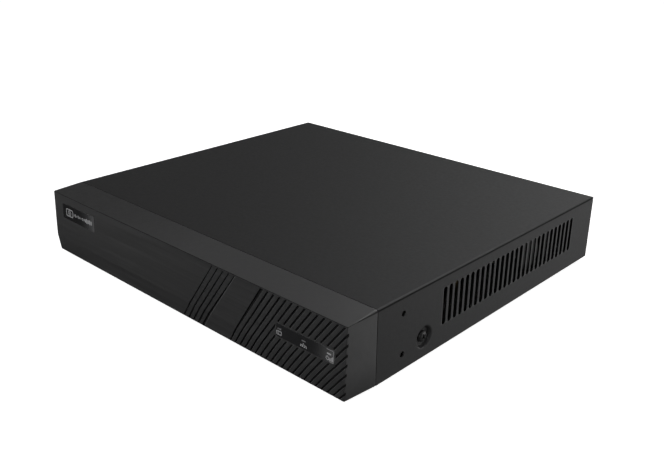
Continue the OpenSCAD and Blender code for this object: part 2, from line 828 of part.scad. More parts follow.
module drive_platters() {
    color("#d9dbdd") case_frame() {
        rod_z(2, 5.8, bay_z + 1, spindle[0], spindle[1]);
        rod_z(12.5, bay_z + 0.5, 20.5, spindle[0], spindle[1]);
        rod_z(15, 20.5, 21.5, spindle[0], spindle[1]);
        for (z = platter_z) rod_z(platter_r, z, z + platter_t, spindle[0], spindle[1]);
    }
}

// The parked arm points along arm_park, just off the edge of the disks
module drive_arm() {
    blade = [[0, -5], [arm_l, -2], [arm_l, 2], [0, 5]];
    coil = [[-6, -4], [-16.5, -8], [-16.5, 8], [-6, 4]];
    gap = (platter_z[1] - platter_z[0] - platter_t - 1) / 2;
    color("#c3c6c8") case_frame() translate([pivot[0], pivot[1], 0]) rotate([0, 0, arm_park])
        difference() {
            union() {
                translate([0, 0, bay_z + 0.8]) cylinder(r = 7, h = 11.4);
                for (z = [platter_z[0] - gap - 1, platter_z[0] + platter_t + gap,
                        platter_z[1] + platter_t + gap])
                    translate([0, 0, z]) linear_extrude(height = 1) polygon(blade);
                translate([0, 0, 15]) linear_extrude(height = 2.6) polygon(coil);
            }
            cylinder(r = post_r + running_gap, h = 40);
        }
}

module drive_magnet() {
    turn = 96;
    start = arm_park + 180 - 33;
    color("#8d9092") case_frame() translate([pivot[0], pivot[1], 0]) {
        for (z = [bay_z, 19]) translate([0, 0, z]) rotate([0, 0, start])
            rotate_extrude(angle = turn) translate([9, 0]) square([10, z == bay_z ? 3 : 2]);
        for (a = [start + 2, start + turn - 2]) rotate([0, 0, a])
            translate([17.6, 0, bay_z]) cylinder(r = 0.8, h = 10);
    }
}

module drive_board() {
    color("#1d6b3a") case_frame() {
        block([drive_pocket[0][0] + 1, drive_pocket[0][1] + 1, 3.8],
            [drive_pocket[1][0] - 1, drive_pocket[1][1] - 1, 5]);
    }
}

module drive_connector() {
    color("#1b1b1c") case_frame() {
        block([drive_pocket[1][0], connector_y[0], drive_lo[2] + 0.4], [21, connector_y[1],
            connector_top]);
        block([21, 14.5, 5.6], [drive_hi[0] - 0.3, 25, 6.8]);
        block([21, 30, 5.6], [drive_hi[0] - 0.3, 54, 6.8]);
    }
}

module drive_screws() {
    color("#b9bcbe") case_frame() for (x = drive_hole_x, y = drive_hole_y)
        translate([x, y, drive_lo[2] - sheet]) rotate([180, 0, 0]) pan_screw(3.4, 1.8, 1.45, 5.5);
}

module lid_screws() {
    color("#707376") case_frame() for (p = lid_screw_at) translate([p[0], p[1], drive_hi[2]])
        pan_screw(2.2, 1, board_shank_r, 5);
}

plug_x = [drive_hi[0], 36];

module data_cable() {
    color("#8e1f1c") case_frame() {
        block([plug_x[0], 14, 3.2], [plug_x[1], 25.5, 8.8]);
        cable([[36, 19.7, 6], [42, 19.7, 6], [50, 21, 6], [57, 25, 6.2], [62, 32, 6.6],
            [65, 44, 7.6], [67, 62, 9.2], [68, 82, 11], [68, 94, 11.7], [68, 99, 11.7]],
            6.4, 2, sides = 10, steps = 3);
        block([sata_x - 5.8, 99, 9], [sata_x + 5.8, header_y, 14.4]);
    }
}

module power_cable() {
    color("#d8b32a") case_frame() {
        block([plug_x[0], 29, 3.2], [plug_x[1] + 2, 55, 8.8]);
        for (i = [0:3]) {
            y = 33 + 5.5 * i;
            x = power_x + 3.9 - 2.6 * i;
            cable([[38, y, 6], [40.5, y, 6.1], [x - 1.4, y + 3.5, 6.8], [x, y + 12, 8.4],
                [x, 84, 10.4], [x, 97, 10.6], [x, 104, 10.6]], 1.7, 1.7, sides = 8,
                steps = 3);
        }
        block([power_x - 5.8, 104, 7.8], [power_x + 5.8, header_y, 13.4]);
    }
}

// Rear sockets -------------------------------------------------------------------------------

barrel_r = 4.83;
barrel_bore_r = 4.05;
shoulder_r = 6;
shoulder_y = socket_face + 2.6;
barrel_end = case_d + socket_out;

// Bayonet socket of the 75 ohm kind: shoulder, barrel and two locking pins
module video_shell(x, z) {
    difference() {
        union() {
            rod_y(shoulder_r, socket_face, shoulder_y, x, z);
            rod_y(barrel_r, socket_face, barrel_end, x, z);
            rod_x(0.98, x - 5.7, x + 5.7, barrel_end - 4.6, z);
        }
        rod_y(barrel_bore_r, socket_face - over, barrel_end + over, x, z);
    }
}

module video_shells(i) {
    color("#c9cccf") case_frame() for (z = row_z) video_shell(video_x[i], z);
}

module video_shells_1() { video_shells(0); }
module video_shells_2() { video_shells(1); }
module video_shells_3() { video_shells(2); }
module video_shells_4() { video_shells(3); }

block_w = 14.5;
block_d = 17;

module socket_block(x, w, d) {
    block([x - w / 2, socket_face - d, board_top], [x + w / 2, socket_face,
        row_z[1] + block_w / 2]);
}

module video_blocks() {
    color("#1e1e20") case_frame() for (x = video_x) socket_block(x, block_w, block_d);
}

contact_r = 1;

module video_insulators() {
    color("#f1f0ec") case_frame() for (x = video_x, z = row_z) difference() {
        union() {
            rod_y(barrel_bore_r, socket_face, barrel_end - 8.8, x, z);
            rod_y(2.4, socket_face, barrel_end - 2.6, x, z);
        }
        rod_y(contact_r, socket_face - over, barrel_end, x, z);
    }
}

module video_contacts() {
    color("#d4b04c") case_frame() for (x = video_x, z = row_z) difference() {
        rod_y(contact_r, socket_face, barrel_end - 3.2, x, z);
        rod_y(0.68, barrel_end - 9, barrel_end, x, z);
    }
}

audio_shell_r = 4.15;
audio_core_r = 3.4;
audio_core_end = socket_face + 8;
audio_shell_end = socket_face + 10.4;

module audio_block() {
    color("#1e1e20") case_frame() {
        socket_block(audio_x, 12, 13);
        for (z = row_z) difference() {
            rod_y(audio_core_r, socket_face, audio_core_end, audio_x, z);
            rod_y(1.6, socket_face, audio_core_end + over, audio_x, z);
        }
    }
}

module audio_shells() {
    color("#c9cccf") case_frame() for (z = row_z) difference() {
        rod_y(audio_shell_r, socket_face, audio_shell_end, audio_x, z);
        rod_y(audio_core_r, socket_face - over, audio_shell_end + over, audio_x, z);
    }
}

vga_w = 16.9;
vga_h = 8.4;
vga_face = panel_in + 5.9;
vga_body_half = 15.4;
vga_flange = 0.8;

// D-shaped outline of the fifteen-way socket
module vga_outline(grow) {
    w = vga_w / 2 + grow;
    h = vga_h / 2 + grow;
    polygon([[-w, h], [w, h], [w - 1.5, -h], [1.5 - w, -h]]);
}

module vga_socket() {
    color("#b9bcbe") case_frame() difference() {
        union() {
            block([vga_x - vga_body_half, panel_in - 13.5, board_top],
                [vga_x + vga_body_half, panel_in - vga_flange, 20]);
            block([vga_x - vga_body_half, panel_in - vga_flange, vga_z - 6.2],
                [vga_x + vga_body_half, panel_in, vga_z + 6.2]);
            translate([vga_x, vga_face, vga_z]) rotate([90, 0, 0])
                linear_extrude(height = vga_face - panel_in) vga_outline(0);
        }
        for (row = [-1, 0, 1], i = [0:4])
            rod_y(0.5, vga_face - 4, vga_face + over,
                vga_x + (i - 2) * 2.29 + row * 0.5, vga_z + row * 1.98, $fn = 16);
    }
}

module vga_posts() {
    color("#c3c6c8") case_frame() for (s = [-1, 1])
        translate([vga_x + s * vga_post_pitch / 2, panel_in, vga_z]) rotate([-90, 0, 0]) {
            cylinder(r = m3_r, h = sheet);
            translate([0, 0, sheet]) difference() {
                cylinder(r = 2.75, h = 5, $fn = 6);
                cylinder(r = post_tap_r, h = 5 + over);
            }
        }
}

hdmi_w = 15;
hdmi_h = 5.8;

module hdmi_socket() {
    mid = board_top + hdmi_h / 2;
    color("#b9bcbe") case_frame() {
        difference() {
            block([hdmi_x - hdmi_w / 2, port_out - 12, board_top],
                [hdmi_x + hdmi_w / 2, port_out, board_top + hdmi_h]);
            block([hdmi_x - 7, port_out - 10, mid - 0.6],
                [hdmi_x + 7, port_out + over, mid + 2.3]);
            block([hdmi_x - 5.6, port_out - 10, mid - 2.3],
                [hdmi_x + 5.6, port_out + over, mid]);
        }
        block([hdmi_x - 5, port_out - 11, mid - 0.2], [hdmi_x + 5, port_out - 1.6, mid + 1]);
    }
}

lan_w = 16;
lan_h = 13.4;

module lan_socket() {
    color("#b9bcbe") case_frame() difference() {
        block([lan_x - lan_w / 2, port_out - 16, board_top],
            [lan_x + lan_w / 2, port_out, board_top + lan_h]);
        block([lan_x - 5.9, port_out - 13, board_top + 4],
            [lan_x + 5.9, port_out + over, board_top + 11.2]);
        block([lan_x - 3.2, port_out - 9, board_top + 2],
            [lan_x + 3.2, port_out + over, board_top + 4.1]);
    }
}

usb_w = 14.4;
usb_h = 15.6;

module usb_socket() {
    color("#b9bcbe") case_frame() difference() {
        block([usb_x - usb_w / 2, port_out - 16, board_top],
            [usb_x + usb_w / 2, port_out, board_top + usb_h]);
        for (z = [1.2, 9]) difference() {
            block([usb_x - 6.3, port_out - 13, board_top + z],
                [usb_x + 6.3, port_out + over, board_top + z + 5.2]);
            block([usb_x - 5.6, port_out - 14, board_top + z + 2.9],
                [usb_x + 5.6, port_out - 0.8, board_top + z + 4.7]);
        }
    }
}

module power_inlet() {
    color("#1b1b1c") case_frame() {
        difference() {
            union() {
                block([inlet_x - 4.6, panel_in - 13.5, board_top],
                    [inlet_x + 4.6, panel_in, 19]);
                rod_y(4, panel_in, port_out, inlet_x, inlet_z);
            }
            rod_y(2.8, port_out - 11, port_out + over, inlet_x, inlet_z);
        }
        rod_y(1, port_out - 12, port_out - 1, inlet_x, inlet_z);
    }
}

// One line for each sub-part ------------------------------------------------------------------

top_cover();
base_chassis();
rear_panel();
front_bezel();
badge_plate();
indicator_window();
foot_front_left();
foot_front_right();
foot_rear_left();
foot_rear_right();
cover_screws();
earth_screw();
light_pipes();
indicator_board();
indicator_leds();
indicator_ribbon();
main_board();
board_standoffs();
board_screws();
processor();
heatsink();
memory_chips();
video_chips();
inductors();
capacitors();
cell_holder();
coin_cell();
buzzer();
sata_socket();
pin_headers();
fan_frame();
fan_rotor();
fan_screws();
fan_lead();
drive_base();
drive_lid();
drive_platters();
drive_arm();
drive_magnet();
drive_board();
drive_connector();
drive_screws();
lid_screws();
data_cable();
power_cable();
video_shells_1();
video_shells_2();
video_shells_3();
video_shells_4();
video_blocks();
video_insulators();
video_contacts();
audio_block();
audio_shells();
vga_socket();
vga_posts();
hdmi_socket();
lan_socket();
usb_socket();
power_inlet();
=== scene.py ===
"""Looks of the compact video recorder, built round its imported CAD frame.

Pieces are drawn in millimetres in the case frame: X runs across the front, Y = 0 is the seam behind
the bezel, Z = 0 is the underside of the steel floor. INTO_ROW carries them into the row frame.
"""

import math
import random

import bmesh
import bpy
from mathutils import Matrix, Vector


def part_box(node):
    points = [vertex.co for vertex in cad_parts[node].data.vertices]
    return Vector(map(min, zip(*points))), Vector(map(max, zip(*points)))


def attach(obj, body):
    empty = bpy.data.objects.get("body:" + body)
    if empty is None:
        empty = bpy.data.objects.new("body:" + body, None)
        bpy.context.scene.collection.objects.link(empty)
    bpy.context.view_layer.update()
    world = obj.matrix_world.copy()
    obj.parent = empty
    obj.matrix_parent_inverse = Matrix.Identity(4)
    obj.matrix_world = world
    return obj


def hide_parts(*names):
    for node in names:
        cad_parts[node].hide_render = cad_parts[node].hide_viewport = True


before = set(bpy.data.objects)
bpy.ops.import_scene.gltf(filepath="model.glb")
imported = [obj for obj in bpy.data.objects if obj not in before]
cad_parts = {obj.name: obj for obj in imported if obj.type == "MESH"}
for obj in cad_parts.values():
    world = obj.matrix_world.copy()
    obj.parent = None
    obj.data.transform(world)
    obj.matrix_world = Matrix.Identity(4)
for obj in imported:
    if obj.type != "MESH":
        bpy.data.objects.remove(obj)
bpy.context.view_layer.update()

MM = 0.001
CASE_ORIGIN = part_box("base_chassis")[0]
INTO_ROW = Matrix.Translation((0, CASE_ORIGIN.y, CASE_ORIGIN.z)) @ Matrix.Scale(MM, 4)
FROM_ROW = INTO_ROW.inverted()


def place_of(node):
    """Lowest and highest corner of a CAD node, in case millimetres."""
    return [FROM_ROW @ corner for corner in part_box(node)]


def middle_of(solid):
    return (solid[0] + solid[1]) / 2


COVER_LO, COVER_HI = place_of("top_cover")
HALF_W, CASE_D, CASE_H = COVER_HI
BEZEL_D = -place_of("front_bezel")[0].y
BOARD_LO, BOARD_HI = place_of("main_board")
BOARD_TOP = BOARD_HI.z
PANEL_OUT = place_of("rear_panel")[1].y
BLOCK_FACE = place_of("video_blocks")[1].y
MOUTH = place_of("usb_socket")[1].y
SHEET = 0.8
FOLD_R = 0.8
BADGE_AT, BADGE_SIZE = (-100.5, 30.5), (37, 10)
WINDOW_AT, WINDOW_SIZE = (102.6, 22.15), (39.4, 7.1)

# Materials ----------------------------------------------------------------------------------------


class Finish:
    """A procedural material: a Principled shader with small helpers that hang detail on it."""

    def __init__(self, name, colour, rough, metal=0.0, **sockets):
        self.material = bpy.data.materials.new(name)
        self.material.use_nodes = True
        self.tree = self.material.node_tree
        self.shader = self.tree.nodes["Principled BSDF"]
        self.colour = colour
        self.rough = rough
        self.shader.inputs["Base Color"].default_value = (*colour, 1)
        self.shader.inputs["Roughness"].default_value = rough
        self.shader.inputs["Metallic"].default_value = metal
        for socket, value in sockets.items():
            self.shader.inputs[socket.replace("_", " ")].default_value = value

    def node(self, kind, **settings):
        made = self.tree.nodes.new("ShaderNode" + kind)
        for key, value in settings.items():
            setattr(made, key, value)
        return made

    def link(self, out, into):
        self.tree.links.new(out, into)

    def noise(self, size, detail=3.0, stretch=(1, 1, 1), kind="noise"):
        """Noise whose grains are about size millimetres, drawn out by stretch. Returns its value.
        kind is noise, or F1 or DISTANCE_TO_EDGE for the distance from a cell's centre or edge."""
        scale = self.node("Mapping")
        scale.inputs["Scale"].default_value = [1 / (size * MM * s) for s in stretch]
        self.link(self.node("TexCoord").outputs["Object"], scale.inputs["Vector"])
        made = self.node("TexNoise") if kind == "noise" else self.node("TexVoronoi", feature=kind)
        made.inputs["Scale"].default_value = 1
        self.link(scale.outputs["Vector"], made.inputs["Vector"])
        if kind != "noise":
            return made.outputs["Distance"]
        made.inputs["Detail"].default_value = detail
        return made.outputs["Fac"]

    def place(self, axis):
        """The place along one axis, in metres."""
        split = self.node("SeparateXYZ")
        self.link(self.node("TexCoord").outputs["Object"], split.inputs["Vector"])
        return split.outputs[axis]

    def spread(self, value, low, high, start=0.3, end=0.7):
        """A value between low and high that follows another one."""
        span = self.node("MapRange")
        for socket, number in (("From Min", start), ("From Max", end), ("To Min", low), ("To Max", high)):
            span.inputs[socket].default_value = number
        self.link(value, span.inputs["Value"])
        return span.outputs["Result"]

    def combine(self, operation, a, b):
        made = self.node("Math", operation=operation)
        self.link(a, made.inputs[0])
        self.link(b, made.inputs[1])
        return made.outputs["Value"]

    def along_x(self, start, end):
        """A value that rises ever faster from 0 to 1 between two places across the front."""
        ramp = self.spread(self.place("X"), 0, 1, start * MM, end * MM)
        return self.combine("MULTIPLY", ramp, ramp)

    def tint(self, value, amount, other=None, start=0.3, end=0.7):
        """Mixes the base colour with a lighter or another one where value is high."""
        before = self.shader.inputs["Base Color"]
        mix = self.node("Mix", data_type="RGBA")
        if before.is_linked:
            self.link(before.links[0].from_socket, mix.inputs["A"])
        else:
            mix.inputs["A"].default_value = before.default_value[:]
        mix.inputs["B"].default_value = (*(other or [c * 1.6 for c in self.colour]), 1)
        self.link(self.spread(value, 0, amount, start, end), mix.inputs["Factor"])
        self.link(mix.outputs["Result"], before)
        return self

    def wear(self, value, amount):
        """Roughness moves by amount round its base with value."""
        low = max(0.02, self.rough - amount)
        self.link(self.spread(value, low, self.rough + amount), self.shader.inputs["Roughness"])
        return self

    def bump(self, value, depth):
        """Adds relief of that depth in millimetres."""
        made = self.node("Bump")
        made.inputs["Strength"].default_value = 1
        made.inputs["Distance"].default_value = depth * MM
        self.link(value, made.inputs["Height"])
        before = self.shader.inputs["Normal"]
        if before.is_linked:
            self.link(before.links[0].from_socket, made.inputs["Normal"])
        self.link(made.outputs["Normal"], before)
        return self


def powder_coat(name, colour, rough):
    """Fine textured paint on sheet steel."""
    made = Finish(name, colour, rough, Specular_IOR_Level=0.3)
    grain = made.noise(0.45, 2)
    made.tint(grain, 0.35).wear(made.noise(2, 3), 0.03)
    return made.bump(grain, 0.012)


def moulded(name, colour, rough, grain, **sockets):
    """Injection-moulded plastic with a faint spark-eroded grain."""
    made = Finish(name, colour, rough, **sockets)
    made.tint(made.noise(9, 3), 0.25).wear(made.noise(3, 4), 0.05)
    return made.bump(made.noise(grain, 2), 0.006)


def metal(name, colour, rough, stretch=(1, 1, 1)):
    """Plated or bare metal with clouded polish and fine marks."""
    made = Finish(name, colour, rough, metal=1.0)
    made.tint(made.noise(9, 3, stretch), 0.22, [c * 0.78 for c in colour])
    made.wear(made.noise(1.5, 3, stretch), 0.04)
    return made.bump(made.noise(0.5, 2, stretch), 0.0012)


def ink(name, colour, faded, rough, spot, worn):
    """Printed ink, faded in small spots. spot and worn are sizes in millimetres."""
    made = Finish(name, colour, rough)
    made.tint(made.noise(spot, 3), 0.4, faded).wear(made.noise(worn, 2), 0.08)
    return made.bump(made.noise(0.2, 2), 0.002)


def dusty_painted_shade(name, colour, dust, spot, grain):
    """A matt hollow painted dark as shade, with paler spots of dust."""
    # Painted shade: the hollow's colour is darker than the surface round it.
    made = Finish(name, colour, 0.9, Specular_IOR_Level=0.1)
    made.tint(made.noise(spot, 3), 0.5, dust)
    return made.bump(made.noise(grain, 2), 0.01)


def gloss_plate(name, dark, reflection_span, at, size):
    """Glossy plate with a painted highlight: its colour turns grey over the last part of its right end."""
    made = Finish(name, (dark, dark, dark * 1.05), 0.2, Coat_Weight=0.5, Coat_Roughness=0.1)
    right = at[0] + size[0] / 2
    # Painted highlight: the colour goes to grey over the last reflection_span millimetres of the right end.
    made.tint(made.along_x(right - reflection_span, right), 1, (0.125, 0.125, 0.127), 0, 1)
    return made.wear(made.noise(5, 3), 0.04).bump(made.noise(12, 2), 0.004)


def bezel_top_painted_sheen(name):
    """The satin top of the bezel, with a painted sheen that makes it paler towards its right end."""
    made = moulded(name, (0.039, 0.039, 0.0395), 0.36, 0.25)
    # Painted sheen: the colour grows paler towards the right end of the top.
    return made.tint(made.along_x(-115, 8), 1, (0.068, 0.068, 0.0688), 0, 1)


def edge_shaded(name):
    """The moulded edge under the turn of the bezel's top, which falls in its own shade."""
    return moulded(name, (0.012, 0.012, 0.0122), 0.6, 0.25, Specular_IOR_Level=0.2)


def fan_black(name):
    return moulded(name, (0.009, 0.009, 0.0095), 0.5, 0.4, Specular_IOR_Level=0.3)


def led_body(name):
    return moulded(name, (0.72, 0.76, 0.7), 0.28, 0.5, Subsurface_Weight=0.1)


def bezel_brushed(name):
    """The smooth part of the bezel's face, textured with long horizontal hairlines."""
    made = Finish(name, (0.0305, 0.0305, 0.031), 0.38)
    lines = made.noise(1.3, 5, (60, 8, 1))
    broad = made.noise(3.4, 2, (30, 6, 1))
    made.tint(lines, 1, (0.0425, 0.0425, 0.0432), 0.4, 0.63)
    made.tint(broad, 0.25, (0.026, 0.026, 0.026), 0.42, 0.62)
    return made.wear(lines, 0.05).bump(lines, 0.02)


def screw_black(name):
    """Black oxide on a steel screw."""
    made = Finish(name, (0.022, 0.022, 0.023), 0.5, metal=0.2, Specular_IOR_Level=0.35)
    made.tint(made.noise(1.5, 4), 0.5, (0.045, 0.044, 0.043)).wear(made.noise(0.6, 3), 0.1)
    return made.bump(made.noise(0.25, 3), 0.004)


def fold_painted_highlight(name):
    """The outside of a fold, with a painted highlight that is strongest towards the front."""
    made = powder_coat(name, (0.026, 0.026, 0.0265), 0.58)
    # Painted highlight: paler towards the front of the fold.
    return made.tint(made.spread(made.place("Y"), 1, 0, -0.1, 0.09), 1, (0.062, 0.062, 0.063), 0, 1)


def fold_shaded(name):
    """The turn under a fold, painted dark as shade, matt and dull."""
    # Painted shade: darker than the cover's own paint.
    made = Finish(name, (0.01, 0.01, 0.0102), 0.8, Specular_IOR_Level=0.15)
    made.tint(made.noise(0.45, 2), 0.35).wear(made.noise(14, 4), 0.04)
    return made.bump(made.noise(0.45, 2), 0.012)


def zinc_plate(name):
    """Passivated galvanised sheet, with its broad crystals."""
    made = metal(name, (0.5, 0.51, 0.5), 0.38)
    crystals = made.noise(7, kind="F1")
    return made.tint(crystals, 0.5, (0.36, 0.37, 0.37), 0.2, 0.9).bump(made.noise(0.8, 2), 0.004)


def rubber(name):
    """Matt black rubber with a bloom of dust."""
    made = Finish(name, (0.014, 0.014, 0.014), 0.85, Specular_IOR_Level=0.3)
    made.tint(made.noise(2.5, 4), 0.5, (0.032, 0.031, 0.03)).wear(made.noise(1, 3), 0.08)
    return made.bump(made.noise(0.35, 3), 0.02)


def clear_plastic(name):
    made = Finish(name, (0.86, 0.89, 0.9), 0.1, Transmission_Weight=0.85, IOR=1.49)
    return made.wear(made.noise(2, 3), 0.05).bump(made.noise(1.2, 2), 0.004)


def solder_mask(name):
    """Green mask over copper tracks and pours, with tinned holes between them."""
    made = Finish(name, (0.016, 0.15, 0.06), 0.32, Coat_Weight=0.3)
    wide_tracks = made.noise(6, stretch=(1, 1.7, 100), kind="DISTANCE_TO_EDGE")
    thin_tracks = made.noise(2.4, stretch=(1.6, 1, 100), kind="DISTANCE_TO_EDGE")
    tracks = made.combine("MINIMUM", wide_tracks, made.spread(thin_tracks, 0, 0.6, 0, 1))
    made.tint(tracks, 1, (0.006, 0.062, 0.026), 0.03, 0.04)
    made.tint(made.noise(17, 2, (1, 1.4, 1)), 0.8, (0.012, 0.115, 0.047), 0.53, 0.55)
    holes = made.noise(3.2, stretch=(1, 1, 100), kind="F1")
    made.tint(made.spread(holes, 1, 0, 0.1, 0.13), 1, (0.5, 0.5, 0.46), 0, 1)
    return made.wear(made.noise(8, 3), 0.06).bump(made.spread(tracks, 1, 0, 0.03, 0.05), 0.02)


def ribbon_grey(name):
    """Flat cable insulation, with a run of faint lines along the conductors."""
    made = Finish(name, (0.33, 0.34, 0.37), 0.5)
    made.tint(made.noise(0.9, 3, (1, 60, 60)), 0.6, (0.24, 0.25, 0.28)).wear(made.noise(3, 3), 0.06)
    return made.bump(made.noise(0.5, 2), 0.008)


def chip_black(name):
    """Epoxy moulding compound."""
    made = Finish(name, (0.02, 0.021, 0.022), 0.6)
    made.tint(made.noise(0.25, 2), 0.6).tint(made.noise(5, 3), 0.3, (0.03, 0.031, 0.033))
    return made.wear(made.noise(2, 3), 0.06).bump(made.noise(0.15, 2), 0.008)


def ferrite_grey(name):
    made = Finish(name, (0.075, 0.076, 0.08), 0.62)
    made.tint(made.noise(0.5, 3), 0.7, (0.13, 0.13, 0.135)).wear(made.noise(1.5, 3), 0.08)
    return made.bump(made.noise(0.3, 3), 0.015)


def drive_casting(name):
    """Die-cast aluminium with a fine shot-blasted skin."""
    made = metal(name, (0.42, 0.43, 0.44), 0.5)
    return made.bump(made.noise(0.5, 4), 0.03)


def disk_mirror(name):
    made = Finish(name, (0.82, 0.83, 0.84), 0.05, metal=1.0)
    made.tint(made.noise(20, 2), 0.2, (0.74, 0.75, 0.76)).wear(made.noise(9, 3), 0.02)
    return made.bump(made.noise(30, 2), 0.002)


def ceramic_brown(name):
    made = Finish(name, (0.27, 0.19, 0.12), 0.5)
    made.tint(made.noise(0.7, 3), 0.5, (0.36, 0.27, 0.18)).wear(made.noise(0.5, 2), 0.1)
    return made.bump(made.noise(0.2, 2), 0.006)


def paper_white(name):
    """Coated label stock."""
    made = Finish(name, (0.7, 0.7, 0.68), 0.55)
    made.tint(made.noise(0.6, 4), 0.3, (0.62, 0.62, 0.6)).wear(made.noise(4, 3), 0.06)
    return made.bump(made.noise(0.3, 3), 0.003)


# Finishes that need no more than one kind and its values
SIMPLE = {
    powder_coat: {
        "cover_black": ((0.026, 0.026, 0.0265), 0.6),
        # A painted highlight on the sheet between the cover's slots
        "slot_strip_painted_highlight": ((0.05, 0.05, 0.0505), 0.56),
        "rear_black": ((0.024, 0.024, 0.0245), 0.55),
    },
    moulded: {
        "bezel_black": ((0.039, 0.039, 0.0395), 0.36, 0.25),
        "rib_black": ((0.0345, 0.0345, 0.035), 0.38, 0.25),
        # A painted highlight: paler moulding along the grooves' edges and on the turn of the bezel's top
        "edge_painted_highlight": ((0.075, 0.075, 0.076), 0.34, 0.25),
        "can_sleeve": ((0.016, 0.022, 0.045), 0.3, 0.8),
        "holder_black": ((0.022, 0.022, 0.023), 0.45, 0.3),
        "buzzer_black": ((0.018, 0.018, 0.019), 0.5, 0.35),
        "socket_blue": ((0.012, 0.03, 0.26), 0.42, 0.3),
        "header_white": ((0.74, 0.71, 0.62), 0.42, 0.4),
        "lead_red": ((0.5, 0.016, 0.012), 0.42, 0.5),
        "connector_black": ((0.02, 0.02, 0.021), 0.4, 0.3),
        "cable_red": ((0.42, 0.012, 0.01), 0.38, 0.6),
        "wire_yellow": ((0.68, 0.43, 0.02), 0.42, 0.5),
        "block_black": ((0.019, 0.019, 0.02), 0.46, 0.3),
        "insulator_white": ((0.78, 0.77, 0.72), 0.4, 0.4),
    },
    metal: {
        "bright_steel": ((0.6, 0.6, 0.59), 0.26),
        "brass": ((0.72, 0.52, 0.24), 0.3),
        "sink_aluminium": ((0.56, 0.57, 0.58), 0.4, (1, 18, 18)),
        "can_top": ((0.66, 0.67, 0.68), 0.32),
        "cell_steel": ((0.68, 0.68, 0.67), 0.24, (14, 1, 1)),
        "drive_steel": ((0.58, 0.59, 0.6), 0.32, (30, 1, 1)),
        "arm_aluminium": ((0.6, 0.61, 0.62), 0.36, (1, 12, 1)),
        "magnet_nickel": ((0.62, 0.61, 0.58), 0.22),
        "socket_nickel": ((0.64, 0.62, 0.58), 0.2),
        "contact_gold": ((0.83, 0.6, 0.24), 0.2),
        "shield_steel": ((0.6, 0.6, 0.58), 0.27, (1, 6, 1)),
        "solder_tin": ((0.68, 0.68, 0.67), 0.28),
    },
    ink: {
        "print_grey": ((0.46, 0.46, 0.47), (0.36, 0.36, 0.37), 0.6, 0.6, 0.4),
        "lamp_grey": ((0.17, 0.17, 0.175), (0.12, 0.12, 0.13), 0.4, 0.8, 0.6),
        "board_ink": ((0.66, 0.67, 0.64), (0.5, 0.52, 0.49), 0.65, 0.5, 0.5),
        "print_dark": ((0.05, 0.052, 0.06), (0.09, 0.09, 0.1), 0.6, 0.5, 0.5),
    },
    dusty_painted_shade: {
        # Painted shade in the bezel's grooves
        "groove_painted_shade": ((0.016, 0.016, 0.016), (0.026, 0.026, 0.026), 0.8, 0.2),
        # Painted shade in the walls of the cover's slots
        "slot_painted_shade": ((0.004, 0.004, 0.004), (0.009, 0.009, 0.009), 0.7, 0.3),
    },
    gloss_plate: {
        "badge_gloss": (0.008, 18, BADGE_AT, BADGE_SIZE),
        "window_gloss": (0.0162, 16.3, WINDOW_AT, WINDOW_SIZE),
    },
}
OWN_KIND = (bezel_top_painted_sheen, edge_shaded, fan_black, led_body, bezel_brushed, screw_black, fold_painted_highlight, fold_shaded,
            zinc_plate, rubber, clear_plastic, solder_mask, ribbon_grey, chip_black, ferrite_grey,
            drive_casting, disk_mirror, ceramic_brown, paper_white)
RECIPES = {kind.__name__: (kind, ()) for kind in OWN_KIND}
RECIPES.update((name, (kind, values)) for kind, rows in SIMPLE.items() for name, values in rows.items())
LIBRARY = {}


def finish_of(name):
    """Makes a material the first time that it is asked for."""
    if name not in LIBRARY:
        kind, values = RECIPES[name]
        LIBRARY[name] = kind(name, *values).material
    return LIBRARY[name]


# Mesh tools ---------------------------------------------------------------------------------------

INK = 0.02
WELD = 0.0005 * MM
TINY = 1e-5


def put_in_scene(name, data):
    obj = bpy.data.objects.new(name, data)
    bpy.context.scene.collection.objects.link(obj)
    return obj


def add_rounding(obj, width, angle, segments=2):
    made = obj.modifiers.new("round", "BEVEL")
    made.width = width * MM
    made.segments = segments
    made.limit_method = "ANGLE"
    made.angle_limit = math.radians(angle)
    return made


def smooth(obj, angle, bevel, segments):
    """Rounds the sharp edges and shades the rest smoothly. Sizes are in millimetres."""
    if bevel:
        add_rounding(obj, bevel, angle, segments).miter_outer = "MITER_ARC"
    obj.data.shade_smooth()
    if not bevel:
        obj.data.set_sharp_from_angle(angle=math.radians(angle))
    obj.modifiers.new("flatten", "WEIGHTED_NORMAL").keep_sharp = True


def piece(name, bm, finishes, hides=None, body="base", bevel=0.0, angle=32, segments=2):
    """Makes a riding piece from a bmesh in case millimetres, and frees the bmesh.
    hides is the CAD node that it replaces."""
    mesh = to_mesh(bm, name)
    mesh.transform(INTO_ROW)
    obj = put_in_scene(name, mesh)
    for finish in [finishes] if isinstance(finishes, str) else finishes:
        mesh.materials.append(finish_of(finish))
    smooth(obj, angle, bevel, segments)
    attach(obj, body)
    if hides:
        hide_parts(hides)


def to_mesh(bm, name="work"):
    bmesh.ops.remove_doubles(bm, verts=bm.verts, dist=TINY)
    bmesh.ops.recalc_face_normals(bm, faces=bm.faces)
    mesh = bpy.data.meshes.new(name)
    bm.to_mesh(mesh)
    bm.free()
    return mesh


def carve(base, *tools, how="DIFFERENCE"):
    """Cuts tools out of base, or adds them. Each is a bmesh, and base comes back as a new one."""
    obj = put_in_scene("work", to_mesh(base))
    others = []
    for tool in tools:
        others.append(put_in_scene("tool", to_mesh(tool)))
        cut = obj.modifiers.new("cut", "BOOLEAN")
        cut.operation = how
        cut.solver = "EXACT"
        cut.object = others[-1]
    graph = bpy.context.evaluated_depsgraph_get()
    made = bpy.data.meshes.new_from_object(obj.evaluated_get(graph))
    for other in [obj, *others]:
        old = other.data
        bpy.data.objects.remove(other)
        bpy.data.meshes.remove(old)
    bm = bmesh.new()
    bm.from_mesh(made)
    bpy.data.meshes.remove(made)
    return bm


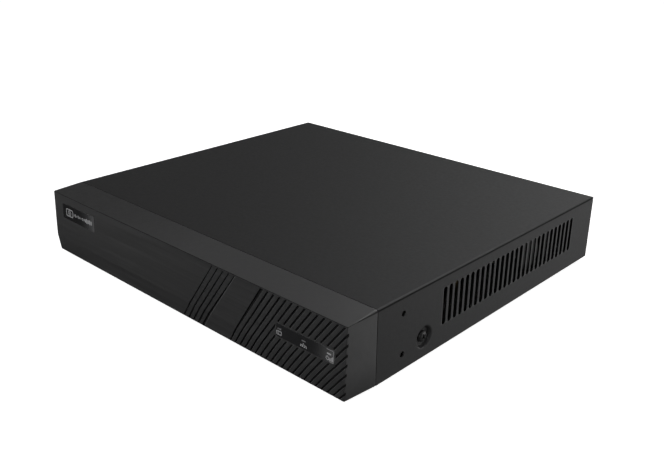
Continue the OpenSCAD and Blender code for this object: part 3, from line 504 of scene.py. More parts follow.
def split_at(bm, place, way):
    """Splits every face that a plane crosses."""
    everything = bm.verts[:] + bm.edges[:] + bm.faces[:]
    bmesh.ops.bisect_plane(bm, geom=everything, dist=TINY, plane_co=place, plane_no=way)


def add_box(bm, lo, hi):
    """A box from its lowest to its highest corner."""
    lo, hi = Vector(lo), Vector(hi)
    corners = [bm.verts.new((x, y, z)) for x in (lo.x, hi.x) for y in (lo.y, hi.y) for z in (lo.z, hi.z)]
    for sides in ((0, 1, 3, 2), (4, 6, 7, 5), (0, 4, 5, 1), (2, 3, 7, 6), (0, 2, 6, 4), (1, 5, 7, 3)):
        bm.faces.new([corners[i] for i in sides])
    return bm


def box(lo, hi):
    return add_box(bmesh.new(), lo, hi)


AXES = {
    "x": lambda u, v, t: Vector((t, u, v)),
    "y": lambda u, v, t: Vector((u, t, v)),
    "z": lambda u, v, t: Vector((u, v, t)),
}


def add_lathe(bm, profile, centre, axis="z", turns=48):
    """Turns (radius, height) pairs round an axis. A radius of zero closes an end."""
    centre = Vector(centre)
    rings = []
    for radius, height in profile:
        angles = [2 * math.pi * i / turns for i in range(turns)] if radius else [0]
        rings.append([bm.verts.new(centre + AXES[axis](radius * math.cos(a), radius * math.sin(a), height))
                      for a in angles])
    for near, far in zip(rings, rings[1:]):
        for i in range(turns):
            j = (i + 1) % turns
            if len(near) == 1:
                bm.faces.new((near[0], far[i], far[j]))
            elif len(far) == 1:
                bm.faces.new((near[i], near[j], far[0]))
            else:
                bm.faces.new((near[i], near[j], far[j], far[i]))
    return bm


def bar(r, t0, t1):
    """Lathe profile of a round bar."""
    return [(0, t0), (r, t0), (r, t1), (0, t1)]


def hoop(r0, r1, t0, t1):
    """Lathe profile of a flat ring."""
    return [(r0, t0), (r1, t0), (r1, t1), (r0, t1), (r0, t0)]


def ring_faces(bm, near, far):
    """Joins two rings of vertices, where neighbours may be the same vertex."""
    count = len(near)
    for i in range(count):
        j = (i + 1) % count
        corners = list(dict.fromkeys((near[i], near[j], far[j], far[i])))
        if len(corners) > 2:
            bm.faces.new(corners)


def add_solid(bm, outlines):
    """A closed solid through outlines that have the same number of points."""
    rings = [[bm.verts.new(p) for p in outline] for outline in outlines]
    bm.faces.new(rings[0])
    bm.faces.new(rings[-1][::-1])
    for near, far in zip(rings, rings[1:]):
        ring_faces(bm, near, far)
    return bm


def add_prism(bm, outline, t0, t1, axis="z", centre=(0, 0, 0)):
    """A straight solid between two places along an axis."""
    centre = Vector(centre)
    return add_solid(bm, [[centre + AXES[axis](u, v, t) for u, v in outline] for t in (t0, t1)])


def shifted(outline, du, dv):
    return [(u + du, v + dv) for u, v in outline]


def arc(r, start, end, steps=20, at=(0, 0)):
    angles = [math.radians(start + (end - start) * i / steps) for i in range(steps + 1)]
    return [(at[0] + r * math.cos(a), at[1] + r * math.sin(a)) for a in angles]


def rounded(w, h, r, steps=6):
    """Outline of a rectangle with round corners, centred on zero."""
    points = []
    for cx, cy, start in ((1, 1, 0), (-1, 1, 90), (-1, -1, 180), (1, -1, 270)):
        points += arc(r, start, start + 90, steps, (cx * (w / 2 - r), cy * (h / 2 - r)))
    return points


def stroke(points, width):
    """Outline of a line of constant width through points."""
    left, right = [], []
    for i, (u, v) in enumerate(points):
        before, after = points[max(i - 1, 0)], points[min(i + 1, len(points) - 1)]
        du, dv = after[0] - before[0], after[1] - before[1]
        size = math.hypot(du, dv)
        left.append((u - dv / size * width / 2, v + du / size * width / 2))
        right.append((u + dv / size * width / 2, v - du / size * width / 2))
    return left + right[::-1]


def closed_stroke(edge, width):
    return stroke(edge + edge[:1], width)


# Bezel --------------------------------------------------------------------------------------------

FACE_LEAN = 0.047
BEND_Z = 11
LOW_LEAN = 0.0873
BELLY_R = 150
FACE_LOW = 0.3
FACE_TOP = 40.9
FACE_HALF = HALF_W - 0.5
SIDE_BELLY_Z = 20
RIM_R = 0.35
GROOVE_DEPTH = 1.3
GROOVE_TOP = 40.2
GROOVE_LOW = 0.8
# Widths of the strips beside each fold that get a painted highlight on the top and painted shade on the side
FOLD_STRIP = (0.35, 0.6)
LAMP_X, LAMP_Z = (85.2, 102.1, 119), 22.4
BADGE_OUT, WINDOW_OUT = 0.25, 0.1
BEZEL_FINISHES = ["bezel_black", "bezel_brushed", "rib_black", "groove_painted_shade", "edge_shaded", "edge_painted_highlight",
                  "bezel_top_painted_sheen"]
BLACK, BRUSHED, RIB, GROOVE, SHADED, LIGHT, TOP = range(len(BEZEL_FINISHES))
# Each groove: place at LINE_LOW and at LINE_HIGH, width at each of them, depth, width of the painted
# highlight along its right edge
LINE_LOW, LINE_HIGH = 3, 39
RIB_GROOVES = [(47.4 + 3.99 * k, 71.2 + 4.31 * k, 1.12, 1.3, GROOVE_DEPTH, 0.35) for k in range(1, 21)]
RIB_GROOVES.insert(0, (47.4, 71, 1.05, 2.3, GROOVE_DEPTH, 0.3))
FINE_GROOVES = [(7.4 + 4.27 * k, 32.2 + 4.48 * k, 1.25 + 0.05 * k, 0.65, 0.8 + 0.1 * k, 0.12)
                for k in range(4)]
FINE_GROOVES.append((24.3, 50.2, 1.9, 0.5, GROOVE_DEPTH, 0.75))
GROOVES = RIB_GROOVES + FINE_GROOVES
RIM_STEPS = [RIM_R * (1 - math.sin(math.radians(a))) for a in (90, 64, 42, 20, 0)]
FACE_ROWS = (
    [FACE_LOW + t for t in RIM_STEPS]
    + [GROOVE_LOW, GROOVE_LOW + 0.08]
    + [1.5, 3, 4.5, 6, 7.5, 9, BEND_Z - 0.8, BEND_Z, BEND_Z + 0.8, 13.5, 15, 16.5]
    + [18.5, SIDE_BELLY_Z, 28, 36, GROOVE_TOP - 0.08, GROOVE_TOP]
    + [FACE_TOP - t for t in reversed(RIM_STEPS)]
)
# Cross-section of a groove: distance outside its nominal edge, share of its depth
GROOVE_PROFILE = ((0.2, 0.0), (0.09, 0.03), (0.02, 0.12), (-0.04, 0.92), (-0.12, 1.0))
PLAIN_BAND = 0.8
NEAR = 1e-4


def face_y(z):
    return -BEZEL_D + (z - BEND_Z) * (FACE_LEAN if z > BEND_Z else -LOW_LEAN)


def face_half(z):
    """Half width of the face, in straight steps between its rows."""
    def curve(h):
        return FACE_HALF - max(0, SIDE_BELLY_Z - h) ** 2 / (2 * BELLY_R)
    for low, high in zip(FACE_ROWS, FACE_ROWS[1:]):
        if z <= high:
            share = (z - low) / (high - low)
            return curve(low) + (curve(high) - curve(low)) * share
    return curve(z)


def groove_x(groove, z):
    return groove[0] + (groove[1] - groove[0]) * (z - LINE_LOW) / (LINE_HIGH - LINE_LOW)


def half_groove(groove, z):
    return (groove[2] + (groove[3] - groove[2]) * (z - LINE_LOW) / (LINE_HIGH - LINE_LOW)) / 2


def groove_depth(x, z):
    """How deep the face is cut at a place."""
    if z > GROOVE_TOP - NEAR or z < GROOVE_LOW + NEAR:
        return 0
    off = zip((x, z), WINDOW_AT, WINDOW_SIZE)
    if all(abs(place - middle) < size / 2 + PLAIN_BAND + NEAR for place, middle, size in off):
        return 0
    for groove in GROOVES:
        out = abs(x - groove_x(groove, z)) - half_groove(groove, z)
        if out < GROOVE_PROFILE[0][0]:
            for (a, da), (b, db) in zip(GROOVE_PROFILE, GROOVE_PROFILE[1:]):
                if out >= b:
                    return groove[4] * (da + (db - da) * (a - out) / (a - b))
            return groove[4]
    return 0


def on_painted_highlight(x, z):
    """Whether a place is on the painted highlight along the right edge of a groove."""
    return any(-0.01 < x - groove_x(g, z) - half_groove(g, z) < g[5] for g in GROOVES)


def rim_drop(x, z):
    """How far the rounded rim falls back from the flat face."""
    side = max(0, RIM_R - (face_half(z) - abs(x)))
    edge = max(0, RIM_R - (FACE_TOP - z), RIM_R - (z - FACE_LOW))
    q = min(RIM_R, math.hypot(side, edge))
    return RIM_R - math.sqrt(max(0, RIM_R ** 2 - q ** 2))


def split_along(bm, x_low, x_high, z_low=LINE_LOW, z_high=LINE_HIGH):
    """Splits the flat face along a straight line in X and Z."""
    split_at(bm, (x_low, 0, z_low), Vector((z_high - z_low, 0, x_low - x_high)).normalized())


def flat_face():
    """The bezel's face in X and Z, split along every line where its depth changes."""
    bm = bmesh.new()
    grid = []
    for z in FACE_ROWS:
        half = face_half(z)
        xs = [-half + t for t in RIM_STEPS] + [half - t for t in reversed(RIM_STEPS)]
        grid.append([bm.verts.new((x, 0, z)) for x in xs])
    for low, high in zip(grid, grid[1:]):
        for i in range(len(low) - 1):
            bm.faces.new((low[i], low[i + 1], high[i + 1], high[i]))
    for groove in GROOVES:
        low, high = groove[2] / 2, groove[3] / 2
        for out, _ in GROOVE_PROFILE:
            for side in (-1, 1):
                split_along(bm, groove[0] + side * (low + out), groove[1] + side * (high + out))
        split_along(bm, groove[0] + low + groove[5], groove[1] + high + groove[5])
    for band in (PLAIN_BAND, PLAIN_BAND + 0.08):
        for side in (-1, 1):
            x = WINDOW_AT[0] + side * (WINDOW_SIZE[0] / 2 + band)
            z = WINDOW_AT[1] + side * (WINDOW_SIZE[1] / 2 + band)
            split_along(bm, x, x)
            split_along(bm, 0, 1, z, z)
    return bm


def back_point(x, z, corner=None):
    """Where a point of the front outline goes to on the back outline, at Y = -1.
    corner is the share of the way round a corner, for the corner points."""
    top_r, low_r = FOLD_R, 0.4
    side = 1 if x > 0 else -1
    if corner is not None:
        r = top_r if z > CASE_H / 2 else low_r
        a = math.radians(90 * corner)
        dz = r * math.sin(a)
        flat = HALF_W - r + r * math.cos(a)
        return Vector((side * flat, -1, CASE_H - r + dz if z > CASE_H / 2 else r - dz))
    if z > FACE_TOP - NEAR:
        return Vector((x / FACE_HALF * (HALF_W - top_r), -1, CASE_H))
    if z < FACE_LOW + NEAR:
        return Vector((x / face_half(FACE_LOW) * (HALF_W - low_r), -1, 0))
    share = (z - FACE_LOW) / (FACE_TOP - FACE_LOW)
    return Vector((side * HALF_W, -1, low_r + share * (CASE_H - top_r - low_r)))


def rim_loop(bm):
    """The vertices round the open edge of a patch, in order."""
    edges = [e for e in bm.edges if e.is_boundary]
    ahead = {}
    for e in edges:
        for v in e.verts:
            ahead.setdefault(v, []).append(e)
    loop, edge = [edges[0].verts[0]], edges[0]
    while True:
        v = edge.other_vert(loop[-1])
        if v is loop[0]:
            return loop
        loop.append(v)
        edge = next(e for e in ahead[v] if e is not edge)


def paint_face(bm):
    """Gives each part of the flat face its own finish: painted shade in the grooves and on the lower part of
    the top rim, and a painted highlight beside each groove.
    """
    for face in bm.faces:
        x, _, z = face.calc_center_median()
        face.material_index = BRUSHED if x < groove_x(GROOVES[0], z) - half_groove(GROOVES[0], z) else RIB
        # Painted shade on the floors and walls of the grooves.
        if groove_depth(x, z) > 0.2:
            face.material_index = GROOVE
        # Painted shade along the lower part of the rounded top rim.
        elif z > FACE_TOP - RIM_R:
            face.material_index = GROOVE if z < FACE_TOP - RIM_R / 3 else RIB
        elif abs(x) > face_half(z) - RIM_R:
            face.material_index = BLACK
        # Painted highlight along the right edge of each groove.
        elif on_painted_highlight(x, z) and z < GROOVE_TOP:
            face.material_index = LIGHT


def bezel_shell():
    """The whole bezel: grooved face, sides, and the hollow behind."""
    bm = flat_face()
    rim = rim_loop(bm)
    flat = {v: (v.co.x, v.co.z) for v in bm.verts}
    for v, (x, z) in flat.items():
        v.co.y = face_y(z) + max(rim_drop(x, z), groove_depth(x, z))
    paint_face(bm)
    columns = []
    for i, v in enumerate(rim):
        x, z = flat[v]
        on_side = abs(abs(x) - face_half(z)) < NEAR
        on_end = z > FACE_TOP - NEAR or z < FACE_LOW + NEAR
        if on_side and on_end:
            turns = [k / 6 for k in range(7)]
            if abs(flat[rim[i - 1]][1] - z) < NEAR:        # the loop comes along the top or the bottom
                turns.reverse()
            columns += [(v, back_point(x, z, t)) for t in turns]
        else:
            columns.append((v, back_point(x, z)))
    front = [Vector((flat[v][0], face_y(flat[v][1]), flat[v][1])) for v, _ in columns]
    for (v, back), point in zip(columns, front):
        v.co = point.lerp(back, (v.co.y - point.y) / (back.y - point.y))
    rings = [[v for v, _ in columns]]
    behind_grooves, chamfer, wall, mid = 1.6, 0.15, 3.6, CASE_H / 2
    rings.append([bm.verts.new(point.lerp(back, behind_grooves / (back.y - point.y)))
                  for (_, back), point in zip(columns, front)])
    backs = [back for _, back in columns]
    hollow_x, hollow_low, hollow_high, hollow_y = HALF_W - wall, 2, CASE_H - 2.4, 3.2 - BEZEL_D
    inner = [(max(-hollow_x, min(hollow_x, b.x)), max(hollow_low, min(hollow_high, b.z))) for b in backs]
    for ring in (backs, [(b.x, -chamfer, b.z) for b in backs],
                 [(b.x * (1 - chamfer / HALF_W), 0, mid + (b.z - mid) * (1 - chamfer / mid)) for b in backs],
                 [(x, 0, z) for x, z in inner], [(x, hollow_y, z) for x, z in inner]):
        rings.append([bm.verts.new(p) for p in ring])
    for near, far in zip(rings, rings[1:]):
        ring_faces(bm, near, far)
    bmesh.ops.remove_doubles(bm, verts=rings[-1] + rings[-2], dist=NEAR)
    bmesh.ops.contextual_create(bm, geom=[e for e in bm.edges if e.is_boundary])
    return bm


def on_face(at, u, out, v):
    """A point beside a place on the flat upper face: u across, v up the face, out towards the front."""
    lean = math.atan(FACE_LEAN)
    y = face_y(at[1])
    return Vector((at[0] + u, y - out * math.cos(lean) + v * math.sin(lean),
                   at[1] + out * math.sin(lean) + v * math.cos(lean)))


def add_plate(bm, at, outline, out0, out1, inset):
    """A flat plate on the face between two depths, with a rounded front edge."""
    size = max(abs(u) for u, _ in outline)
    tall = max(abs(v) for _, v in outline)
    shells = [(out0, 0), (out1 - inset, 0), (out1 - inset * 0.3, inset * 0.3), (out1, inset)]
    return add_solid(bm, [[on_face(at, u * (1 - shrink / size), out, v * (1 - shrink / tall))
                           for u, v in outline] for out, shrink in shells])


def add_mark(bm, at, out, outline, u=0, v=0):
    """A patch of ink on a plate that stands out from the face."""
    outline = shifted(outline, u, v)
    add_solid(bm, [[on_face(at, du, t, dv) for du, dv in outline] for t in (out - INK, out + INK)])


def badge_marks():
    """A lens sign in a rounded frame, and a row of bars of different heights. No lettering."""
    bm = bmesh.new()
    sign = -10.3
    add_mark(bm, BADGE_AT, BADGE_OUT, closed_stroke(rounded(7.6, 4.6, 0.9), 0.6), sign)
    add_mark(bm, BADGE_AT, BADGE_OUT, stroke(arc(1.45, 90, 450, 24), 0.5), sign)
    add_mark(bm, BADGE_AT, BADGE_OUT, arc(0.5, 0, 345, 16), sign)
    heights = (1.6, 2.2, 1.4, 2.2, 1.6, 1.2, 2, 1.6, 2.2, 3.2, 2.6, 3.2, 2.6)
    for i, tall in enumerate(heights):
        wide = 0.75 if i < 8 else 1.15
        add_mark(bm, BADGE_AT, BADGE_OUT, rounded(wide, tall, 0.3, 3), -4.9 + 1.67 * i)
    piece("badge_marks", bm, "print_grey")


def window_marks():
    """Three light bars, each over a small sign: a disk, a branching line and an on switch."""
    bm, bars = bmesh.new(), bmesh.new()

    def mark(outline, u, v, target=bm):
        add_mark(target, WINDOW_AT, WINDOW_OUT, outline, u, v)

    disk, line, switch = (x - WINDOW_AT[0] for x in LAMP_X)
    for u, target in ((disk, bars), (line, bars), (switch, bm)):
        mark(rounded(2.7, 0.8, 0.3, 4), u, 0.9, target)
    mark(closed_stroke(rounded(3.6, 1.9, 0.4), 0.3), disk - 0.2, -1.4)
    mark(stroke(arc(0.45, 0, 350, 14), 0.28), disk - 0.7, -1.4)
    mark(rounded(0.7, 0.3, 0.1, 2), disk + 0.8, -1.8)
    for du, v in ((0, -0.65), (-1.9, -2.1), (-0.65, -2.1), (0.65, -2.1), (1.9, -2.1)):
        mark(rounded(0.75, 0.6, 0.12, 2), line + du, v)
    mark(stroke([(-2, 0), (2, 0)], 0.24), line, -1.4)
    mark(stroke(arc(0.95, 125, 415), 0.38), switch - 0.9, -1.5)
    mark(stroke([(0, -1.3), (0, -0.2)], 0.36), switch - 0.9, 0)
    for du, tall in ((0.65, 1.3), (1.45, 1.9), (2.25, 2.5)):
        mark(rounded(0.5, tall, 0.12, 2), switch + du, tall / 2 - 2.6)
    end = WINDOW_SIZE[0] / 2
    frame_line = rounded(WINDOW_SIZE[0] - 0.9, WINDOW_SIZE[1] - 0.9, 0.4)
    corner = sorted(((u, v) for u, v in frame_line if u > end - 1.2), key=lambda p: -p[1])
    mark(stroke([(end - 5, corner[0][1]), *corner, (end - 3, corner[-1][1])], 0.16), 0, 0)
    piece("lamp_bars", bars, "lamp_grey")
    piece("window_marks", bm, "print_grey")


def make_plates():
    bm = add_plate(bmesh.new(), BADGE_AT, rounded(*BADGE_SIZE, 0.8), -0.6, BADGE_OUT, 0.12)
    piece("badge", bm, "badge_gloss", "badge_plate")
    bm = add_plate(bmesh.new(), WINDOW_AT, rounded(*WINDOW_SIZE, 0.6), -1.2, WINDOW_OUT, 0.08)
    piece("window", bm, "window_gloss", "indicator_window")
    badge_marks()
    window_marks()


def make_bezel():
    pockets = bmesh.new()
    for at, (wide, tall), r, deep in ((BADGE_AT, BADGE_SIZE, 0.85, 0.62),
                                      (WINDOW_AT, WINDOW_SIZE, 0.65, 1.22)):
        add_plate(pockets, at, rounded(wide + 0.1, tall + 0.1, r), -deep, 2, 0.01)
    for x in LAMP_X:
        add_lathe(pockets, bar(1.6, -BEZEL_D, -17), (x, 0, LAMP_Z), "y", 32)
    bm = carve(bezel_shell(), pockets)
    low = CASE_H - FOLD_R - FOLD_STRIP[1]
    split_at(bm, (0, 0, low), (0, 0, 1))
    # The turn of each top side edge gets a painted highlight on its upper part and painted shade on its lower
    # part, and the top gets a painted sheen.
    for face in bm.faces:
        at = face.calc_center_median()
        on_fold = abs(at.x) > HALF_W - 2 and at.z > low and at.y > face_y(at.z) + 0.5
        turn = abs(face.normal.x) if on_fold else 0
        if turn > 0.87:
            face.material_index = SHADED
        elif turn > 0.15:
            face.material_index = LIGHT
        elif face.normal.z > 0.7 and at.z > FACE_TOP - 0.05:
            face.material_index = TOP
    piece("bezel", bm, BEZEL_FINISHES, "front_bezel", angle=24)


# Cover --------------------------------------------------------------------------------------------

SLOT_COUNT, SLOT_PITCH, SLOT_W = 28, 4.95, 3.1
SLOT_FIRST = 54.6
SLOT_Z = (12.7, 34.75)
EAR_Y, EAR_Z, EAR_R = 20.1, (9.2, 32.3), 1.6
SIDE_SCREW = (38, 11.8)
DIMPLE_DEPTH = 2
REAR_SCREW_X, REAR_SCREW_Z = 120, 36.5
LIP_LOW, LIP_TAB_LOW, LIP_TAB_W = 37.5, 32, 12
M3_HOLE_R = 1.7
# Radius and height over the cover's side, for the pressed cup round a side screw and the bump behind it
CUP = [(0, -DIMPLE_DEPTH), (5.0, -DIMPLE_DEPTH), (5.25, -1.86), (5.42, -1.5), (5.9, -0.5), (6.15, -0.16),
       (6.6, -0.03), (7.2, 0.005), (7.2, 1), (0, 1)]
BUMP = [(0, -DIMPLE_DEPTH - SHEET), (5.6, -DIMPLE_DEPTH - SHEET), (5.95, -2.6), (6.15, -2.2), (6.9, -0.9),
        (7.2, -0.5), (0, -0.5)]
COVER_FINISHES = ["cover_black", "slot_painted_shade", "fold_painted_highlight", "fold_shaded", "slot_strip_painted_highlight"]
SLOT_DARK, FOLD_HIGHLIGHT, FOLD_SHADED, SLOT_HIGHLIGHT = range(1, len(COVER_FINISHES))


def folded_box(lo, hi, r, steps):
    """A box whose top edges along Y and whose top rear edge are rounded."""
    bm = box(lo, hi)

    def folds(edge):
        a, b = edge.verts[0].co, edge.verts[1].co
        on_top = min(a.z, b.z) > hi[2] - 0.01
        reaches_rear = max(a.y, b.y) > hi[1] - 0.01
        return on_top and reaches_rear and (abs(a.x - b.x) < 0.01 or min(a.y, b.y) > hi[1] - 0.01)

    bmesh.ops.bevel(bm, geom=[e for e in bm.edges if folds(e)], offset=r, segments=steps,
                    affect="EDGES", profile=0.5)
    return bm


def stadium(w, h):
    top = arc(w / 2, 0, 180, 10, (0, h / 2 - w / 2))
    return top + [(-u, -v) for u, v in top]


def cover_holes():
    """The vent slots, and the holes for the screws and for the chassis ears."""
    holes = bmesh.new()
    for side in (-1, 1):
        add_lathe(holes, bar(M3_HOLE_R, 120 * side, 131 * side), (0, *SIDE_SCREW), "x", 32)
        at = (side * REAR_SCREW_X, CASE_D, REAR_SCREW_Z)
        add_lathe(holes, bar(M3_HOLE_R, -2, 2), at, "y", 32)
        for z in EAR_Z:
            add_lathe(holes, bar(EAR_R, 125 * side, 131 * side), (0, EAR_Y, z), "x", 32)
    for i in range(SLOT_COUNT):
        at = (0, SLOT_FIRST + i * SLOT_PITCH, (SLOT_Z[0] + SLOT_Z[1]) / 2)
        add_prism(holes, stadium(SLOT_W, SLOT_Z[1] - SLOT_Z[0]), -HALF_W - 1, HALF_W + 1, "x", at)
    return holes


def paint_folds(bm):
    """Splits off the faces along the two side folds, and gives them a painted highlight on top of the turn
    and painted shade under it.
    """
    on_top, on_side = HALF_W - FOLD_R - FOLD_STRIP[0], CASE_H - FOLD_R - FOLD_STRIP[1]
    for x in (on_top, -on_top):
        split_at(bm, (x, 0, 0), (1, 0, 0))
    split_at(bm, (0, 0, on_side), (0, 0, 1))
    for face in bm.faces:
        at = face.calc_center_median()
        on_fold = abs(at.x) > on_top and at.z > on_side and abs(face.normal.y) < 0.5
        if on_fold and (abs(at.x) > HALF_W - SHEET or at.z > CASE_H - SHEET):
            # Painted highlight on the upper faces of the fold, painted shade on the lower ones.
            face.material_index = FOLD_HIGHLIGHT if abs(face.normal.z) > 0.5 else FOLD_SHADED


def paint_slots(bm, first, last):
    """Paints shade on the walls of the slots, and a painted highlight on the sheet between them."""
    for face in bm.faces:
        at = face.calc_center_median()
        if first < at.y < last and SLOT_Z[0] < at.z < SLOT_Z[1] and abs(at.x) > HALF_W - SHEET:
            # Painted shade on the walls of the slots.
            if abs(face.normal.x) < 0.3:
                face.material_index = SLOT_DARK
            elif abs(at.x) > HALF_W - 0.01:
                # Painted highlight on the sheet between the slots.
                face.material_index = SLOT_HIGHLIGHT


def make_cover():
    inside = HALF_W - SHEET
    hollow = folded_box((-inside, -1, -1), (inside, CASE_D - SHEET, CASE_H - SHEET), 0.2, 3)
    tab_out, tab_in = REAR_SCREW_X + LIP_TAB_W / 2, REAR_SCREW_X - LIP_TAB_W / 2
    half = [(inside, -2), (inside, LIP_LOW), (tab_out, LIP_LOW), (tab_out, LIP_TAB_LOW),
            (tab_in, LIP_TAB_LOW), (tab_in, LIP_LOW)]
    rear = add_prism(bmesh.new(), half + [(-x, z) for x, z in half[::-1]], CASE_D - 2, CASE_D + 1, "y")
    bm = carve(folded_box((-HALF_W, COVER_LO.y, 0), (HALF_W, CASE_D, CASE_H), FOLD_R, 6), hollow)
    bm = carve(bm, rear)
    for profile, how in ((BUMP, "UNION"), (CUP, "DIFFERENCE")):
        tool = bmesh.new()
        for side in (-1, 1):
            add_lathe(tool, [(r, side * (HALF_W + h)) for r, h in profile], (0, *SIDE_SCREW), "x", 64)
        bm = carve(bm, tool, how=how)
    bm = carve(bm, cover_holes())
    first, last = SLOT_FIRST - SLOT_PITCH / 2, SLOT_FIRST + (SLOT_COUNT - 0.5) * SLOT_PITCH
    for y in (first, last):
        split_at(bm, (0, y, 0), (0, 1, 0))
    for z in SLOT_Z:
        split_at(bm, (0, 0, z), (0, 0, 1))
    paint_folds(bm)
    paint_slots(bm, first, last)
    piece("cover", bm, COVER_FINISHES, "top_cover", body="cover", bevel=0.1, angle=38)


def turned(degrees, axis):
    return Matrix.Rotation(math.radians(degrees), 4, axis)


def rectangle(half_w, half_h):
    return [(-half_w, -half_h), (half_w, -half_h), (half_w, half_h), (-half_w, half_h)]


def pan_head(r, h, long):
    """A cross-recess screw that points down, with the underside of its head at Z = 0."""
    head = ((0, 1), (0.35, 0.99), (0.62, 0.92), (0.84, 0.74), (0.96, 0.48), (1, 0.2))
    profile = [(r * u, h * v) for u, v in head]
    profile += [(r * 0.985, 0.03), (r * 0.95, 0), (1.5, 0), (1.5, 0.4 - long), (1.1, -long), (0, -long)]
    bm = add_lathe(bmesh.new(), profile, (0, 0, 0), "z", 40)
    recess = ((rectangle(r * 0.252, r * 0.09), 0.45), (rectangle(r * 0.56, r * 0.15), 1.02))
    for turn in (0, 90):
        arm = add_solid(bmesh.new(), [[(u, v, h * z) for u, v in outline] for outline, z in recess])
        arm.transform(turned(turn, "Z"))
        bm = carve(bm, arm)
    return bm


def add_screws(bm, screw, places):
    """Adds a screw at each place: a point, the tip and axis that lay it over, and a spin about itself."""
    mesh = to_mesh(screw, "screw")
    for at, tip, axis, spin in places:
        copy = mesh.copy()
        copy.transform(Matrix.Translation(at) @ turned(tip, axis) @ turned(spin, "Z"))
        bm.from_mesh(copy)
        bpy.data.meshes.remove(copy)
    bpy.data.meshes.remove(mesh)


def make_cover_screws():
    bm = bmesh.new()
    cup_floor = HALF_W - DIMPLE_DEPTH
    add_screws(bm, pan_head(3.2, 1.9, 5), [((side * cup_floor, *SIDE_SCREW), side * 90, "Y", spin)
                                           for side, spin in ((1, 20), (-1, 65))])
    add_screws(bm, pan_head(2.9, 1.9, 6), [((side * REAR_SCREW_X, CASE_D, REAR_SCREW_Z), -90, "X", spin)
                                           for side, spin in ((1, 12), (-1, 50))])
    piece("cover_fixings", bm, "screw_black", "cover_screws", body="cover", angle=35)


# Kept CAD nodes -----------------------------------------------------------------------------------

# CAD node: its finish, and the rounding of its edges in millimetres
KEPT = {
    "base_chassis": ("zinc_plate", 0.12), "rear_panel": ("rear_black", 0.1),
    "earth_screw": ("bright_steel", 0.08), "light_pipes": ("clear_plastic", 0.1),
    "indicator_board": ("solder_mask", 0.08), "indicator_leds": ("led_body", 0.12),
    "main_board": ("solder_mask", 0.06), "board_standoffs": ("brass", 0.15),
    "board_screws": ("bright_steel", 0.08), "processor": ("chip_black", 0.15),
    "heatsink": ("sink_aluminium", 0.2), "memory_chips": ("chip_black", 0.12),
    "video_chips": ("chip_black", 0.15), "inductors": ("ferrite_grey", 0.7),
    "cell_holder": ("holder_black", 0.25), "coin_cell": ("cell_steel", 0.35),
    "buzzer": ("buzzer_black", 0.3), "sata_socket": ("socket_blue", 0.2),
    "pin_headers": ("header_white", 0.25), "fan_frame": ("fan_black", 0.3),
    "fan_screws": ("bright_steel", 0.08), "drive_base": ("drive_casting", 0.4),
    "drive_lid": ("drive_steel", 0.2), "drive_platters": ("disk_mirror", 0.15),
    "drive_arm": ("arm_aluminium", 0.12), "drive_magnet": ("magnet_nickel", 0.2),
    "drive_board": ("solder_mask", 0.06), "drive_connector": ("connector_black", 0.15),
    "drive_screws": ("bright_steel", 0.08), "lid_screws": ("screw_black", 0.06),
    "video_blocks": ("block_black", 0.3), "vga_posts": ("socket_nickel", 0.15),
}


def smoothing_group():
    """A node group that shades a mesh smoothly, so that the CAD mesh itself stays as it came."""
    made = bpy.data.node_groups.new("shade_smooth", "GeometryNodeTree")
    for way in ("INPUT", "OUTPUT"):
        made.interface.new_socket("Geometry", in_out=way, socket_type="NodeSocketGeometry")
    start, end = made.nodes.new("NodeGroupInput"), made.nodes.new("NodeGroupOutput")
    shade = made.nodes.new("GeometryNodeSetShadeSmooth")
    made.links.new(start.outputs[0], shade.inputs["Geometry"])
    made.links.new(shade.outputs["Geometry"], end.inputs[0])
    return made


def dress_kept_nodes():
    group = smoothing_group()
    for name, (finish, bevel) in KEPT.items():
        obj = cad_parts[name]
        obj.data.materials.clear()
        obj.data.materials.append(finish_of(finish))
        obj.modifiers.new("weld", "WELD").merge_threshold = WELD
        add_rounding(obj, bevel, 35).use_clamp_overlap = bevel > 0.2
        obj.modifiers.new("shade", "NODES").node_group = group
        obj.modifiers.new("flatten", "WEIGHTED_NORMAL")


def solids_of(node):
    """Lowest and highest corner of each separate solid of a CAD node, in case millimetres."""
    bm = bmesh.new()
    bm.from_mesh(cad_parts[node].data)
    bm.transform(FROM_ROW)
    bmesh.ops.remove_doubles(bm, verts=bm.verts, dist=1e-3)
    left, boxes = set(bm.verts), []
    while left:
        todo, seen = [left.pop()], []
        while todo:
            v = todo.pop()
            seen.append(v.co.copy())
            for other in (edge.other_vert(v) for edge in v.link_edges):
                if other in left:
                    left.remove(other)
                    todo.append(other)
        boxes.append((Vector(map(min, zip(*seen))), Vector(map(max, zip(*seen)))))
    bm.free()
    return sorted(boxes, key=lambda b: tuple(round(c, 2) for c in b[0]))


# Underside ----------------------------------------------------------------------------------------


def make_feet():
    """Rubber feet with a rounded rim, a ring groove and a moulding recess."""
    for name in ("foot_front_left", "foot_front_right", "foot_rear_left", "foot_rear_right"):
        lo, hi = place_of(name)
        r = (hi.x - lo.x) / 2
        tread = [(r - 0.3, 0.75), (r - 0.45, 0.35), (r - 0.75, 0.08), (r - 1.1, 0), (5.1, 0), (4.95, 0.3),
                 (4.45, 0.3), (4.3, 0), (2.6, 0), (2.3, 0.1), (2.2, 0.3), (2.2, 1.2), (0, 1.2)]
        centre = middle_of((lo, hi))
        centre.z = 0
        profile = [(0, 0), (r, 0), (r, -0.4)] + shifted(tread, 0, lo.z)
        bm = add_lathe(bmesh.new(), profile, centre, "z", 64)
        piece("rubber_" + name, bm, "rubber", name, angle=30)


# Main board ---------------------------------------------------------------------------------------

LEG = [(-0.2, 0.85), (0.4, 0.85), (0.7, 0.14), (1.2, 0.14), (1.2, 0), (0.62, 0), (0.34, 0.7), (-0.2, 0.7)]
LEG_W = 0.32
